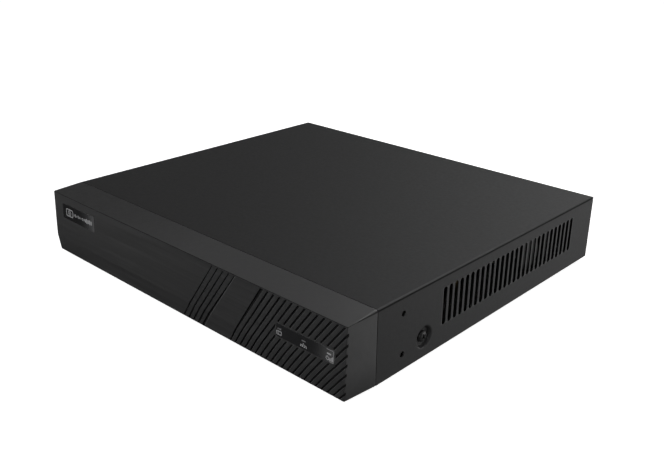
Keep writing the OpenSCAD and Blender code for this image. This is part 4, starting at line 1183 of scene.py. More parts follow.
# Small integrated circuits: centre, size, the sides that have legs
SMALL_CHIPS = [((-38, 189), (7, 7, 1.2), "xy"), ((-9, 189), (8, 5, 1.3), "y"), ((20, 190), (5, 5, 0.9), "xy"),
               ((62, 189), (5, 4, 1.4), "y"), ((80, 176), (6.5, 6, 1.5), "y"), ((-50, 152), (6, 8, 1.5), "x"),
               ((-76, 189), (6, 4, 1.3), "y"), ((44, 176), (7, 7, 1), "xy"), ((-104, 170), (5, 6, 1.3), "x")]
MAGNETICS = ((42, 189), (13, 7, 4.2))
CRYSTALS = [(-49, 168), (32, 182), (-76, 181)]
# CAD nodes that stand on the board
STANDING = ("heatsink", "memory_chips", "video_chips", "inductors", "capacitors", "cell_holder", "buzzer",
            "sata_socket", "pin_headers", "video_blocks", "audio_block", "vga_socket", "hdmi_socket",
            "lan_socket", "usb_socket", "power_inlet", "board_screws")


def add_legs(bm, lo, hi, sides, pitch=0.95, margin=1.0):
    """Gull-wing legs along the sides of a chip that stands on the board."""
    for axis in sides:
        across = "xy".index(axis)
        along = 1 - across
        count = int((hi[along] - lo[along] - 2 * margin) / pitch) + 1
        first = (lo[along] + hi[along] - (count - 1) * pitch) / 2
        for i in range(count):
            at = first + i * pitch
            for side, edge in ((1, hi[across]), (-1, lo[across])):
                outline = [(edge + side * u, BOARD_TOP + v) for u, v in LEG]
                add_prism(bm, outline, at - LEG_W / 2, at + LEG_W / 2, "xy"[along])


def add_line_frame(bm, lo, hi, grow=0.8):
    """A printed outline on the board round a sub-part."""
    width = 0.16
    x0, y0, x1, y1 = lo[0] - grow, lo[1] - grow, hi[0] + grow, hi[1] + grow
    for a, b in (((x0, y0), (x1, y0 + width)), ((x0, y1 - width), (x1, y1)),
                 ((x0, y0), (x0 + width, y1)), ((x1 - width, y0), (x1, y1))):
        add_box(bm, (*a, BOARD_TOP - 0.01), (*b, BOARD_TOP + INK))


def chip_box(centre, size):
    (x, y), (w, d, h) = centre, size
    return Vector((x - w / 2, y - d / 2, BOARD_TOP)), Vector((x + w / 2, y + d / 2, BOARD_TOP + h))


def taken_places():
    """Rectangles of the board that already hold something."""
    taken = [solid for node in STANDING for solid in solids_of(node)]
    taken += [chip_box(centre, size) for centre, size, _ in SMALL_CHIPS]
    return taken + [chip_box(*MAGNETICS)] + [chip_box(at, (10, 4, 1)) for at in CRYSTALS]


def is_free(taken, x, y, reach):
    if not (BOARD_LO.x + 2 < x < BOARD_HI.x - 2 and BOARD_LO.y + 3 < y < BOARD_HI.y - 3):
        return False
    return not any(lo.x - reach < x < hi.x + reach and lo.y - reach < y < hi.y + reach for lo, hi in taken)


def add_small_part(bodies, ends, x, y, size, across):
    """A surface-mounted resistor or capacitor with its two tinned ends."""
    long, wide, tall = size
    at = Vector((x, y, BOARD_TOP))
    for start, end, grow, bm in ((-0.5, -0.3, 0.04, ends), (-0.31, 0.31, 0, bodies), (0.3, 0.5, 0.04, ends)):
        lo, hi = (long * start, -wide / 2 - grow, 0), (long * end, wide / 2 + grow, tall + grow)
        if across:
            lo, hi = (lo[1], lo[0], lo[2]), (hi[1], hi[0], hi[2])
        add_box(bm, at + Vector(lo), at + Vector(hi))


def scatter_small_parts(brown, black, tin):
    """Resistors and capacitors in short rows, wherever the board is free."""
    dice = random.Random(11)
    taken = taken_places()
    cell_w, cell_d = 13, 8
    for i in range(int((BOARD_HI.x - BOARD_LO.x) / cell_w) + 1):
        for j in range(int((BOARD_HI.y - BOARD_LO.y) / cell_d) + 1):
            across, fill, dark = dice.random() < 0.5, dice.choice((0.25, 0.6, 0.9)), dice.random() < 0.45
            size = dice.choice(((1.6, 0.8, 0.55), (1.6, 0.8, 0.55), (2, 1.25, 0.8), (1, 0.5, 0.4)))
            step_x, step_y = (size[1] + 0.8, size[0] + 1) if across else (size[0] + 1, size[1] + 0.8)
            for m in range(int(cell_w / step_x)):
                for n in range(int(cell_d / step_y)):
                    x = BOARD_LO.x + i * cell_w + (m + 0.5) * step_x
                    y = BOARD_LO.y + j * cell_d + (n + 0.5) * step_y
                    if dice.random() < fill and is_free(taken, x, y, 2):
                        add_small_part(black if dark else brown, tin, x, y, size, across)


def add_chips(chips, tin, ink):
    for centre, size, sides in SMALL_CHIPS:
        lo, hi = chip_box(centre, size)
        add_box(chips, lo + Vector((0, 0, 0.08)), hi)
        add_legs(tin, lo, hi, sides, margin=0.6)
        add_line_frame(ink, lo, hi, 1.6)
    for lo, hi in solids_of("video_chips"):
        add_legs(tin, lo, hi, "xy", 0.8)
        add_line_frame(ink, lo, hi, 1.7)
    lo, hi = chip_box(*MAGNETICS)
    add_box(chips, lo + Vector((0, 0, 0.2)), hi)
    add_legs(tin, lo, hi, "y", 1.5)


def add_terminals(tin):
    """Tinned ends of the inductors, crystal cans, and the rings round the board's screws."""
    for lo, hi in solids_of("inductors"):
        for x in (lo.x - 0.5, hi.x - 0.4):
            add_box(tin, (x, lo.y + 1.4, BOARD_TOP), (x + 0.9, hi.y - 1.4, BOARD_TOP + 1.1))
    for x, y in CRYSTALS:
        add_prism(tin, rounded(10.4, 4.5, 2.2, 8), 0.15, 0.5, centre=(x, y, BOARD_TOP))
        add_prism(tin, rounded(9.6, 3.8, 1.85, 8), 0.5, 3, centre=(x, y, BOARD_TOP))
    for at in map(middle_of, solids_of("board_screws")):
        if at.z < BOARD_TOP + 4 and at.y > BOARD_LO.y:
            add_lathe(tin, hoop(1.9, 3.5, -0.01, 0.03), (at.x, at.y, BOARD_TOP), "z", 40)


def make_board_parts():
    """Small parts, chip legs, printed outlines and ring pads on the main board."""
    chips, brown, black, tin, ink = (bmesh.new() for _ in range(5))
    scatter_small_parts(brown, black, tin)
    add_chips(chips, tin, ink)
    for node in ("memory_chips", "inductors", "buzzer", "cell_holder", "heatsink"):
        for lo, hi in solids_of(node):
            add_line_frame(ink, lo, hi)
    add_terminals(tin)
    piece("small_chips", chips, "chip_black", bevel=0.1)
    piece("resistors", black, "chip_black", bevel=0.04, segments=1)
    piece("ceramic_parts", brown, "ceramic_brown", bevel=0.04, segments=1)
    piece("tinned_parts", tin, "solder_tin", angle=30)
    piece("board_print", ink, "board_ink")


def make_capacitors():
    """Electrolytic cans: a printed sleeve rolled over a scored aluminium top, on a rubber bung."""
    sleeves, tops = bmesh.new(), bmesh.new()
    for lo, hi in solids_of("capacitors"):
        at = middle_of((lo, hi))
        r, h = (hi.x - lo.x) / 2 - 0.15, hi.z - BOARD_TOP
        at.z = BOARD_TOP
        bung = [(0, 0), (r, 0), (r, 1), (r - 0.3, 1.25), (r - 0.3, 1.5), (r, 1.8)]
        roll = [(r, -0.35), (r - 0.12, -0.08), (r - 0.35, 0), (r - 0.5, -0.05), (r - 0.5, -0.4), (0, -0.4)]
        add_lathe(sleeves, bung + shifted(roll, 0, h), at, "z", 40)
        top = [(0, -0.5), (r - 0.52, -0.5), (r - 0.52, -0.2), (r - 0.6, -0.14), (0, -0.14)]
        add_lathe(tops, shifted(top, 0, h), at, "z", 40)
        for turn in (30, 90, 150):
            score = [at + turned(turn, "Z") @ Vector((*corner, h)) for corner in rectangle(r - 0.9, 0.11)]
            add_solid(tops, [[corner - Vector((0, 0, drop)) for corner in score] for drop in (0.15, 0.11)])
    piece("capacitor_sleeves", sleeves, "can_sleeve", "capacitors", angle=40)
    piece("capacitor_tops", tops, "can_top", angle=40)


def make_header_pins():
    """Contacts that show in the sockets of the main board, and a spring clip over the coin cell."""
    gold, tin = bmesh.new(), bmesh.new()
    lo, hi = place_of("sata_socket")
    for i in range(7):
        x, z = (lo.x + hi.x) / 2 + (i - 3) * 1.27, lo.z + 4.3
        add_box(gold, (x - 0.3, lo.y + 0.4, z), (x + 0.3, lo.y + 6, z + 0.25))
    for lo, hi in solids_of("pin_headers"):
        axis = 0 if hi.x - lo.x > hi.y - lo.y else 1
        count = int((hi[axis] - lo[axis]) / 2.4)
        for i in range(count):
            at = middle_of((lo, hi))
            at[axis] += (i - (count - 1) / 2) * 2
            add_box(tin, (at.x - 0.32, at.y - 0.32, hi.z - 0.2), (at.x + 0.32, at.y + 0.32, hi.z + 0.7))
    lo, hi = place_of("coin_cell")
    x = (lo.x + hi.x) / 2
    foot = [(-1.9, BOARD_TOP), (-1.3, BOARD_TOP)]
    spring = [(-1.3, 0.1), (4, 0.1), (7, 0.55), (7, 0.9), (4, 0.5), (-1.9, 0.5)]
    add_prism(tin, shifted(foot, lo.y, 0) + shifted(spring, lo.y, hi.z), x - 2.4, x + 2.4, "x")
    piece("socket_contacts", gold, "contact_gold", bevel=0.05)
    piece("header_pins", tin, "solder_tin", bevel=0.08)


# Fan and disk drive -------------------------------------------------------------------------------

HUB_R, TIP_R = 10, 18.4
BLADES, SPANS, CHORDS = 7, 6, 8
BLADE_THICK = 0.55


def add_blade(bm, centre, deep, start):
    """One swept fan blade. centre is the middle of the hub's closed face, deep is how far the hub
    reaches behind it, and start is where the blade stands, in degrees."""
    grid = {}
    for i in range(SPANS + 1):
        v = i / SPANS
        r = HUB_R - 0.4 + v * (TIP_R - HUB_R + 0.4)
        for j in range(CHORDS + 1):
            u = j / CHORDS
            sweep = math.radians(40 * (u - 0.5) * (1 - 0.12 * v) + 16 * v + start)
            x = 0.7 + (deep - 1.2) * (u + 0.16 * math.sin(math.pi * u)) / 1.02
            half = BLADE_THICK * 0.5 * (0.35 + 0.65 * math.sin(math.pi * min(1, u * 0.9 + 0.1)))
            for side in (-1, 1):
                at = centre + Vector((min(x + side * half, deep), r * math.cos(sweep), r * math.sin(sweep)))
                grid[i, j, side] = bm.verts.new(at)
    for i in range(SPANS):
        for j in range(CHORDS):
            for side in (-1, 1):
                bm.faces.new([grid[a, b, side] for a, b in ((i, j), (i + 1, j), (i + 1, j + 1), (i, j + 1))])
    border = [(i, 0) for i in range(SPANS)] + [(SPANS, j) for j in range(CHORDS)]
    border += [(i, CHORDS) for i in range(SPANS, 0, -1)] + [(0, j) for j in range(CHORDS, 0, -1)]
    ring_faces(bm, *([grid[a, b, side] for a, b in border] for side in (-1, 1)))


def make_rotor():
    """The fan's hub with seven swept blades, and a plain sticker on it."""
    lo, hi = place_of("fan_frame")
    centre = middle_of((lo, hi))
    centre.x = lo.x + 0.5
    deep = hi.x - 1.8 - centre.x
    hub = [(0, 0), (HUB_R - 1.4, 0), (HUB_R - 0.6, 0.15), (HUB_R - 0.1, 0.6), (HUB_R, 1.2), (HUB_R, deep),
           (HUB_R - 1, deep), (HUB_R - 1, 1.2), (0, 1.2)]
    bm = add_lathe(bmesh.new(), hub, centre, "x", 64)
    add_lathe(bm, bar(1, 1, place_of("fan_rotor")[1].x - centre.x), centre, "x", 24)
    for k in range(BLADES):
        add_blade(bm, centre, deep, 360 * k / BLADES)
    piece("rotor_blades", bm, "fan_black", "fan_rotor", body="rotor", angle=50)
    sticker = add_lathe(bmesh.new(), bar(7.6, -0.04, 0.02), centre, "x", 48)
    for r in (6.9, 4.1):
        add_lathe(sticker, hoop(r, r + 0.25, -0.07, 0), centre, "x", 48)
    piece("rotor_sticker", sticker, "cell_steel", body="rotor")


def make_drive_label():
    """A blank label with plain bars on the drive's lid."""
    lo, hi = place_of("drive_lid")
    middle = Vector((hi.x - 28, (lo.y + hi.y) / 2, hi.z))
    marks = bmesh.new()

    def mark(u, v, wide, tall):
        add_box(marks, middle + Vector((u, v, 0.08)), middle + Vector((u + wide, v + tall, 0.11)))

    for i, long in enumerate((34, 26, 30, 18, 32, 22, 28)):
        mark(-17, 30 - 4.4 * i, long, 1.5)
    for i in range(22):
        mark(i * 1.55 - 17, -31, 0.5 if i % 3 else 0.95, 13)
    label = add_prism(bmesh.new(), rounded(44, 74, 1.5), -0.02, 0.09, centre=middle)
    piece("drive_label", label, "paper_white")
    piece("label_bars", marks, "print_dark")


def make_spindle_cap():
    """The cap over the drive's spindle, with six small screws round it."""
    lo, hi = place_of("drive_lid")
    spindle = Vector((lo.x + 50.8, lo.y + 50.8, hi.z))
    cap = [(0, -0.42), (6.5, -0.42), (6.8, -0.3), (6.8, -0.12), (6.4, -0.02), (2.2, -0.02), (2, -0.2),
           (0, -0.2)]
    screw = [(0, -0.1), (0.7, -0.1), (0.7, 0.08), (0.5, 0.14), (0, 0.14)]
    bm = add_lathe(bmesh.new(), cap, spindle, "z", 56)
    for u, v in arc(4.3, 15, 315, 5):
        add_lathe(bm, screw, spindle + Vector((u, v, 0)), "z", 20)
    piece("spindle_cap", bm, "bright_steel", angle=35)


# Cables -------------------------------------------------------------------------------------------

DRIVE_FACE = place_of("drive_base")[1].x


def curve_point(a, b, c, d, t):
    """A point between b and c on the smooth curve through four points."""
    square, cube = 2 * a - 5 * b + 4 * c - d, 3 * b - a - 3 * c + d
    return 0.5 * (2 * b + (c - a) * t + square * t * t + cube * t ** 3)


def add_sweep(bm, points, outline, steps):
    """Sweeps an outline of (sideways, upwards) pairs along a smooth curve through points."""
    p = [Vector(q) for q in points]
    last = len(p) - 1
    path = [curve_point(p[max(i - 1, 0)], p[i], p[i + 1], p[min(i + 2, last)], j / steps)
            for i in range(last) for j in range(steps)] + [p[last]]
    outlines = []
    for i, at in enumerate(path):
        ahead = (path[min(i + 1, len(path) - 1)] - path[max(i - 1, 0)]).normalized()
        side = ahead.cross(Vector((0, 0, 1))).normalized()
        up = side.cross(ahead)
        outlines.append([at + u * side + v * up for u, v in outline])
    add_solid(bm, outlines)


def flat_lead(w, t, cores):
    """Outline of a flat cable: a row of round conductors that run into each other."""
    r, steps = t / 2, 6
    pitch = (w - t) / (cores - 1)
    top = []
    for k in range(cores):
        middle = (k - (cores - 1) / 2) * pitch
        for i in range(steps + 1):
            a = math.pi * (1 - i / steps)
            u, v = middle + r * math.cos(a), r * math.sin(a)
            if abs(u - middle) <= pitch / 2 or (k in (0, cores - 1) and v < r * 0.8):
                top.append((u, max(v, 0.0)))
    top.sort()
    return top + [(u, -v) for u, v in reversed(top) if v > 1e-6]


def round_wire(d):
    return arc(d / 2, 0, 337.5, 15)


def add_plug(bm, lo, hi, grips="y"):
    """A cable plug with grip ribs across its top."""
    add_box(bm, lo, hi)
    lo, hi = Vector(lo), Vector(hi)
    along = "xy".index(grips)
    across = 1 - along
    for i in range(4):
        a, b = lo.copy(), hi.copy()
        a[along] += (hi[along] - lo[along]) * (0.2 + 0.13 * i)
        b[along] = a[along] + 0.45
        a[across] += 1.2
        b[across] -= 1.2
        a.z, b.z = hi.z - 0.1, hi.z + 0.25
        add_box(bm, a, b)


def make_plugs(name, finish, bevel, *plugs):
    bm = bmesh.new()
    for plug in plugs:
        add_plug(bm, *plug)
    piece(name, bm, finish, bevel=bevel)


def make_leads(name, finish, routes, outline, hides=None, steps=8):
    bm = bmesh.new()
    for route in routes:
        add_sweep(bm, route, outline, steps)
    piece(name, bm, finish, hides, angle=60)


def make_data_cable():
    lo, hi = place_of("sata_socket")
    x = (lo.x + hi.x) / 2
    make_plugs("data_plugs", "connector_black", 0.4, ((DRIVE_FACE, 14, 3.2), (36, 25.5, 8.8), "x"),
               ((x - 5.8, 99, 9), (x + 5.8, lo.y, 14.4)))
    route = [(36, 19.7, 6), (42, 19.7, 6), (50, 21, 6), (57, 25, 6.2), (62, 32, 6.6), (65, 44, 7.6),
             (67, 62, 9.2), (68, 82, 11), (68, 94, 11.7), (68, 99, 11.7)]
    make_leads("data_lead", "cable_red", [route], flat_lead(6.4, 2, 4), "data_cable")


def make_power_cable():
    plug_x = 46
    make_plugs("power_plugs", "connector_black", 0.4, ((DRIVE_FACE, 29, 3.2), (38, 55, 8.8), "x"),
               ((plug_x - 5.8, 104, 7.8), (plug_x + 5.8, BOARD_LO.y, 13.4)))
    routes = []
    for i in range(4):
        y, x = 33 + 5.5 * i, plug_x + 3.9 - 2.6 * i
        routes.append([(38, y, 6), (40.5, y, 6.1), (x - 1.4, y + 3.5, 6.8), (x, y + 12, 8.4), (x, 84, 10.4),
                       (x, 97, 10.6), (x, 104, 10.6)])
    make_leads("power_leads", "wire_yellow", [routes[0], routes[3]], round_wire(1.7), "power_cable")
    make_leads("return_leads", "connector_black", routes[1:3], round_wire(1.7))


def make_ribbon():
    x = 88
    lamp_back = place_of("indicator_board")[1].y
    make_plugs("ribbon_plugs", "header_white", 0.3, ((x - 5, lamp_back, 15), (x + 5, -2, 20)),
               ((x - 5.5, 105, 7.8), (x + 5.5, BOARD_LO.y, 12.2)))
    run = [(-2, 17.5), (2, 17.5), (5, 17), (8, 14.5), (10, 10), (13, 5), (18, 2.8), (25, 2.4), (60, 2.4),
           (90, 2.4), (95, 3.6), (99, 7.5), (102, 9.6), (105, 10)]
    make_leads("ribbon", "ribbon_grey", [[(x, y, z) for y, z in run]], flat_lead(8, 1, 8), "indicator_ribbon",
               steps=6)


def make_fan_lead():
    header = max(solids_of("pin_headers"), key=lambda solid: solid[1].x)
    x, y = header[1].x, middle_of(header).y
    make_plugs("fan_plug", "header_white", 0.3, ((x, y - 3, 7.8), (x + 6, y + 3, 12.2), "x"))
    fan_x = place_of("fan_frame")[0].x
    for s, name, finish, hides in ((-1, "fan_wire_red", "lead_red", "fan_lead"),
                                   (1, "fan_wire_black", "connector_black", None)):
        route = [(x + 6, y + 1.2 * s, 10), (x + 8.5, y + 1.2 * s, 9.8), (x + 11, 147 + s, 8.5),
                 (x + 13, 143 + s, 6), (x + 14.5, 139 + s, 4), (x + 16.2, 137 + s, 3.1), (fan_x, 137 + s, 3)]
        make_leads(name, finish, [route], round_wire(1.2), hides)


# Rear sockets -------------------------------------------------------------------------------------

# Lathe profiles of the round sockets, as (radius, height). Those named END or INLET are measured from
# the socket's open end, and the locking pin from the socket's axis.
BAYONET = [(4.05, 0), (6, 0), (6, 2.2), (5.75, 2.55), (5.3, 2.6), (5.2, 2.75), (5.2, 3.5), (4.95, 3.7),
           (4.83, 3.9)]
BAYONET_END = [(4.83, -0.75), (4.7, -0.3), (4.5, -0.05), (4.3, 0), (4.12, -0.08), (4.05, -0.3)]
LOCKING_PIN = [(0, 4.5), (0.98, 4.5), (0.98, 5.4), (0.85, 5.62), (0.55, 5.7), (0, 5.7)]
INSULATOR_END = [(4.05, -8.95), (3.9, -8.8), (2.6, -8.8), (2.4, -8.6), (2.4, -2.85), (2.2, -2.6),
                 (1.25, -2.6), (1.02, -2.8), (1.02, -8), (0, -8)]
CONTACT_END = [(1, -3.3), (0.92, -3.2), (0.75, -3.2), (0.68, -3.35), (0.68, -9), (0, -9)]
PHONO_CORE_END = [(3.4, -2.7), (3.2, -2.4), (1.8, -2.4), (1.6, -2.6)]
PHONO_RING_END = [(4.15, -0.45), (4.02, -0.12), (3.8, 0), (3.55, -0.05), (3.42, -0.3)]
INLET_RIM = [(4, -0.35), (3.85, -0.08), (3.6, 0), (3.1, 0), (2.88, -0.12), (2.8, -0.4), (2.8, -11)]
INLET_PIN = [(0, -12), (1, -12), (1, -1.6), (0.85, -1.15), (0.5, -1), (0, -1)]


def add_tube(bm, outer, inner, t0, t1, axis, centre):
    """A straight wall between two outlines that have the same number of points."""
    centre = Vector(centre)
    rings = [[bm.verts.new(centre + AXES[axis](u, v, t)) for u, v in outline]
             for outline, t in ((outer, t0), (outer, t1), (inner, t1), (inner, t0))]
    for near, far in zip(rings, rings[1:] + rings[:1]):
        ring_faces(bm, near, far)


def soft_corners(points, r):
    """Rounds the corners of an outline."""
    made, steps = [], 4
    for i, point in enumerate(points):
        here = Vector(point)
        before, after = Vector(points[i - 1]), Vector(points[(i + 1) % len(points)])
        a, b = here + (before - here).normalized() * r, here + (after - here).normalized() * r
        for t in (k / steps for k in range(steps + 1)):
            made.append(tuple(a * (1 - t) ** 2 + here * 2 * t * (1 - t) + b * t * t))
    return made


def shrunk(points, d):
    """An outline moved inwards by d, for outlines centred on zero."""
    w, h = max(abs(u) for u, _ in points), max(abs(v) for _, v in points)
    return [(u * (1 - d / w), v * (1 - d / h)) for u, v in points]


def make_video_sockets():
    """Bayonet sockets: a turned shell with two locking pins, a white insulator and a gold contact."""
    insulators, contacts = bmesh.new(), bmesh.new()
    for column in range(1, 5):
        node = f"video_shells_{column}"
        bm = bmesh.new()
        for solid in solids_of(node):
            at = middle_of(solid)
            pin_y = solid[1].y - 4.6
            long = solid[1].y - BLOCK_FACE
            at.y = BLOCK_FACE
            add_lathe(bm, BAYONET + shifted(BAYONET_END, 0, long) + BAYONET[:1], at, "y", 56)
            for side in (-1, 1):
                add_lathe(bm, [(r, side * h) for r, h in LOCKING_PIN], (at.x, pin_y, at.z), "x", 24)
            add_lathe(insulators, [(0, 0.1), (4.05, 0.1)] + shifted(INSULATOR_END, 0, long), at, "y", 40)
            add_lathe(contacts, [(0, 2), (1, 2)] + shifted(CONTACT_END, 0, long), at, "y", 28)
        piece(f"video_shell_pair_{column}", bm, "socket_nickel", node, angle=35)
    piece("insulators", insulators, "insulator_white", "video_insulators", angle=35)
    piece("centre_contacts", contacts, "contact_gold", "video_contacts", angle=35)


def make_audio_sockets():
    lo, hi = place_of("audio_block")
    cores, shells = bmesh.new(), bmesh.new()
    panel = PANEL_OUT - BLOCK_FACE
    for solid in solids_of("audio_shells"):
        at, long = middle_of(solid), solid[1].y - BLOCK_FACE
        at.y = BLOCK_FACE
        core = [(0, -0.1), (3.4, -0.1)] + shifted(PHONO_CORE_END, 0, long) + [(1.6, 1), (0, 1)]
        add_lathe(cores, core, at, "y", 40)
        collar = [(3.42, 0), (5.2, 0), (5.2, panel + 0.5), (4.95, panel + 0.7), (4.15, panel + 0.7)]
        add_lathe(shells, collar + shifted(PHONO_RING_END, 0, long) + collar[:1], at, "y", 48)
    piece("audio_body", box(lo, (hi.x, BLOCK_FACE, hi.z)), "block_black", "audio_block", bevel=0.3)
    piece("audio_cores", cores, "block_black", angle=35)
    piece("audio_rings", shells, "socket_nickel", "audio_shells", angle=35)


def make_vga_socket():
    lo, hi = place_of("vga_socket")
    x, z = (lo.x + hi.x) / 2, 14
    outer = soft_corners([(-8.45, 4.2), (8.45, 4.2), (6.95, -4.2), (-6.95, -4.2)], 1.6)
    shell = box((lo.x, PANEL_OUT - 1.6, z - 6.2), (hi.x, PANEL_OUT - 0.85, z + 6.2))
    add_tube(shell, outer, shrunk(outer, 0.5), PANEL_OUT - 0.8, hi.y, "y", (x, 0, z))
    piece("vga_shell", shell, "shield_steel", "vga_socket", bevel=0.12)
    body = box((lo.x, lo.y, BOARD_TOP), (hi.x, PANEL_OUT - 1.65, z + 6))
    piece("vga_body", body, "block_black", bevel=0.4)
    insert = add_prism(bmesh.new(), shrunk(outer, 0.52), PANEL_OUT - 0.8, hi.y - 0.9, "y", (x, 0, z))
    holes = bmesh.new()
    for row in (-1, 0, 1):
        for i in range(5):
            at = (x + (i - 2) * 2.29 + row * 0.5, hi.y, z + row * 1.98)
            add_lathe(holes, [(0, -4), (0.5, -4), (0.5, -1.2), (0.75, -0.8), (0, -0.8)], at, "y", 20)
    piece("vga_insert", carve(insert, holes), "socket_blue", bevel=0.08, angle=30)


def make_hdmi_socket():
    lo, hi = place_of("hdmi_socket")
    x, z = (lo.x + hi.x) / 2, (lo.z + hi.z) / 2
    outer = soft_corners([(-7.5, 2.9), (7.5, 2.9), (7.5, -0.7), (5.9, -2.9), (-5.9, -2.9), (-7.5, -0.7)], 0.7)
    bm, contacts = bmesh.new(), bmesh.new()
    add_tube(bm, outer, shrunk(outer, 0.45), lo.y, MOUTH, "y", (x, 0, z))
    add_prism(bm, shrunk(outer, 0.44), lo.y, lo.y + 1, "y", (x, 0, z))
    for side in (-3, 3):
        add_box(bm, (x + side - 1, MOUTH - 8, z + 2.3), (x + side + 1, MOUTH - 1.5, z + 2.5))
    piece("hdmi_shell", bm, "shield_steel", "hdmi_socket", bevel=0.1)
    tongue = box((x - 5.3, lo.y + 0.5, z - 0.2), (x + 5.3, MOUTH - 1.6, z + 1))
    piece("hdmi_tongue", tongue, "block_black", bevel=0.2)
    for i in range(10):
        u = x + (i - 4.5)
        for low in (z - 0.3, z + 0.95):
            add_box(contacts, (u - 0.2, lo.y + 2, low), (u + 0.2, MOUTH - 2.2, low + 0.15))
    piece("hdmi_contacts", contacts, "contact_gold", bevel=0.04)


def make_lan_socket():
    lo, hi = place_of("lan_socket")
    x = (lo.x + hi.x) / 2
    bm = carve(box(lo, (hi.x, MOUTH, hi.z)),
               box((x - 5.9, MOUTH - 13, BOARD_TOP + 4), (x + 5.9, MOUTH + 1, BOARD_TOP + 11.2)))
    bm = carve(bm, box((x - 3.2, MOUTH - 9, BOARD_TOP + 2), (x + 3.2, MOUTH + 1, BOARD_TOP + 4.1)))
    lamps, liner, contacts = bmesh.new(), bmesh.new(), bmesh.new()
    windows = []
    for u in (x - 5.6, x + 5.6):
        add_box(lamps, (u - 1.5, MOUTH - 3, hi.z - 1.9), (u + 1.5, MOUTH - 0.1, hi.z - 0.6))
        windows.append(box((u - 1.6, MOUTH - 2, hi.z - 2), (u + 1.6, MOUTH + 1, hi.z - 0.5)))
    piece("lan_shell", carve(bm, *windows), "shield_steel", "lan_socket", bevel=0.12)
    piece("lan_lamps", lamps, "led_body", bevel=0.15)
    add_tube(liner, rectangle(5.88, 3.58), rectangle(5.5, 3.2), MOUTH - 12.9, MOUTH - 0.5, "y",
             (x, 0, BOARD_TOP + 7.6))
    add_box(liner, (x - 5.8, MOUTH - 12.9, BOARD_TOP + 4.1), (x + 5.8, MOUTH - 12, BOARD_TOP + 11.1))
    piece("lan_liner", liner, "block_black", bevel=0.1)
    slope = shifted([(-11.9, -5), (-11.9, -5.3), (-3, -0.3), (-3, 0)], MOUTH, BOARD_TOP + 10.7)
    for i in range(8):
        u = x + (i - 3.5) * 1.02
        add_prism(contacts, slope, u - 0.22, u + 0.22, "x")
    piece("lan_contacts", contacts, "contact_gold", bevel=0.05)


def make_usb_socket():
    lo, hi = place_of("usb_socket")
    x = (lo.x + hi.x) / 2
    bm = box(lo, (hi.x, MOUTH, hi.z))
    tongues, contacts, springs = (bmesh.new() for _ in range(3))
    leaf = [(-9, 0), (-9, 0.2), (-4, 1.0), (-2, 0.4), (-2, 0.2), (-4, 0.75)]
    for z in (BOARD_TOP + 1.2, BOARD_TOP + 9):
        bm = carve(bm, box((x - 6.3, MOUTH - 13, z), (x + 6.3, MOUTH + 1, z + 5.2)))
        add_box(tongues, (x - 5.6, MOUTH - 13.5, z + 2.9), (x + 5.6, MOUTH - 0.8, z + 4.7))
        for i in range(4):
            u = x + (i - 1.5) * 2.5
            add_box(contacts, (u - 0.5, MOUTH - 10, z + 2.78), (u + 0.5, MOUTH - 1.6, z + 2.95))
        for u in (x - 3, x + 3):
            add_prism(springs, shifted(leaf, MOUTH, z), u - 0.9, u + 0.9, "x")
    piece("usb_shell", bm, "shield_steel", "usb_socket", bevel=0.15)
    piece("usb_springs", springs, "shield_steel", bevel=0.05)
    piece("usb_tongues", tongues, "block_black", bevel=0.2)
    piece("usb_contacts", contacts, "contact_gold", bevel=0.04)


def make_power_inlet():
    lo, hi = place_of("power_inlet")
    at = ((lo.x + hi.x) / 2, MOUTH, 13.9)
    panel_in = PANEL_OUT - SHEET
    bm = carve(box(lo, (hi.x, panel_in, hi.z)), add_lathe(bmesh.new(), bar(3.2, -11, 1), at, "y", 40))
    piece("inlet_body", bm, "connector_black", "power_inlet", bevel=0.3)
    sleeve = [(2.8, -11), (3.25, -11), (3.25, panel_in - MOUTH), (4, panel_in - MOUTH)]
    barrel = add_lathe(bmesh.new(), sleeve + INLET_RIM, at, "y", 48)
    piece("inlet_barrel", barrel, "connector_black", angle=35)
    piece("inlet_pin", add_lathe(bmesh.new(), INLET_PIN, at, "y", 28), "socket_nickel", angle=35)


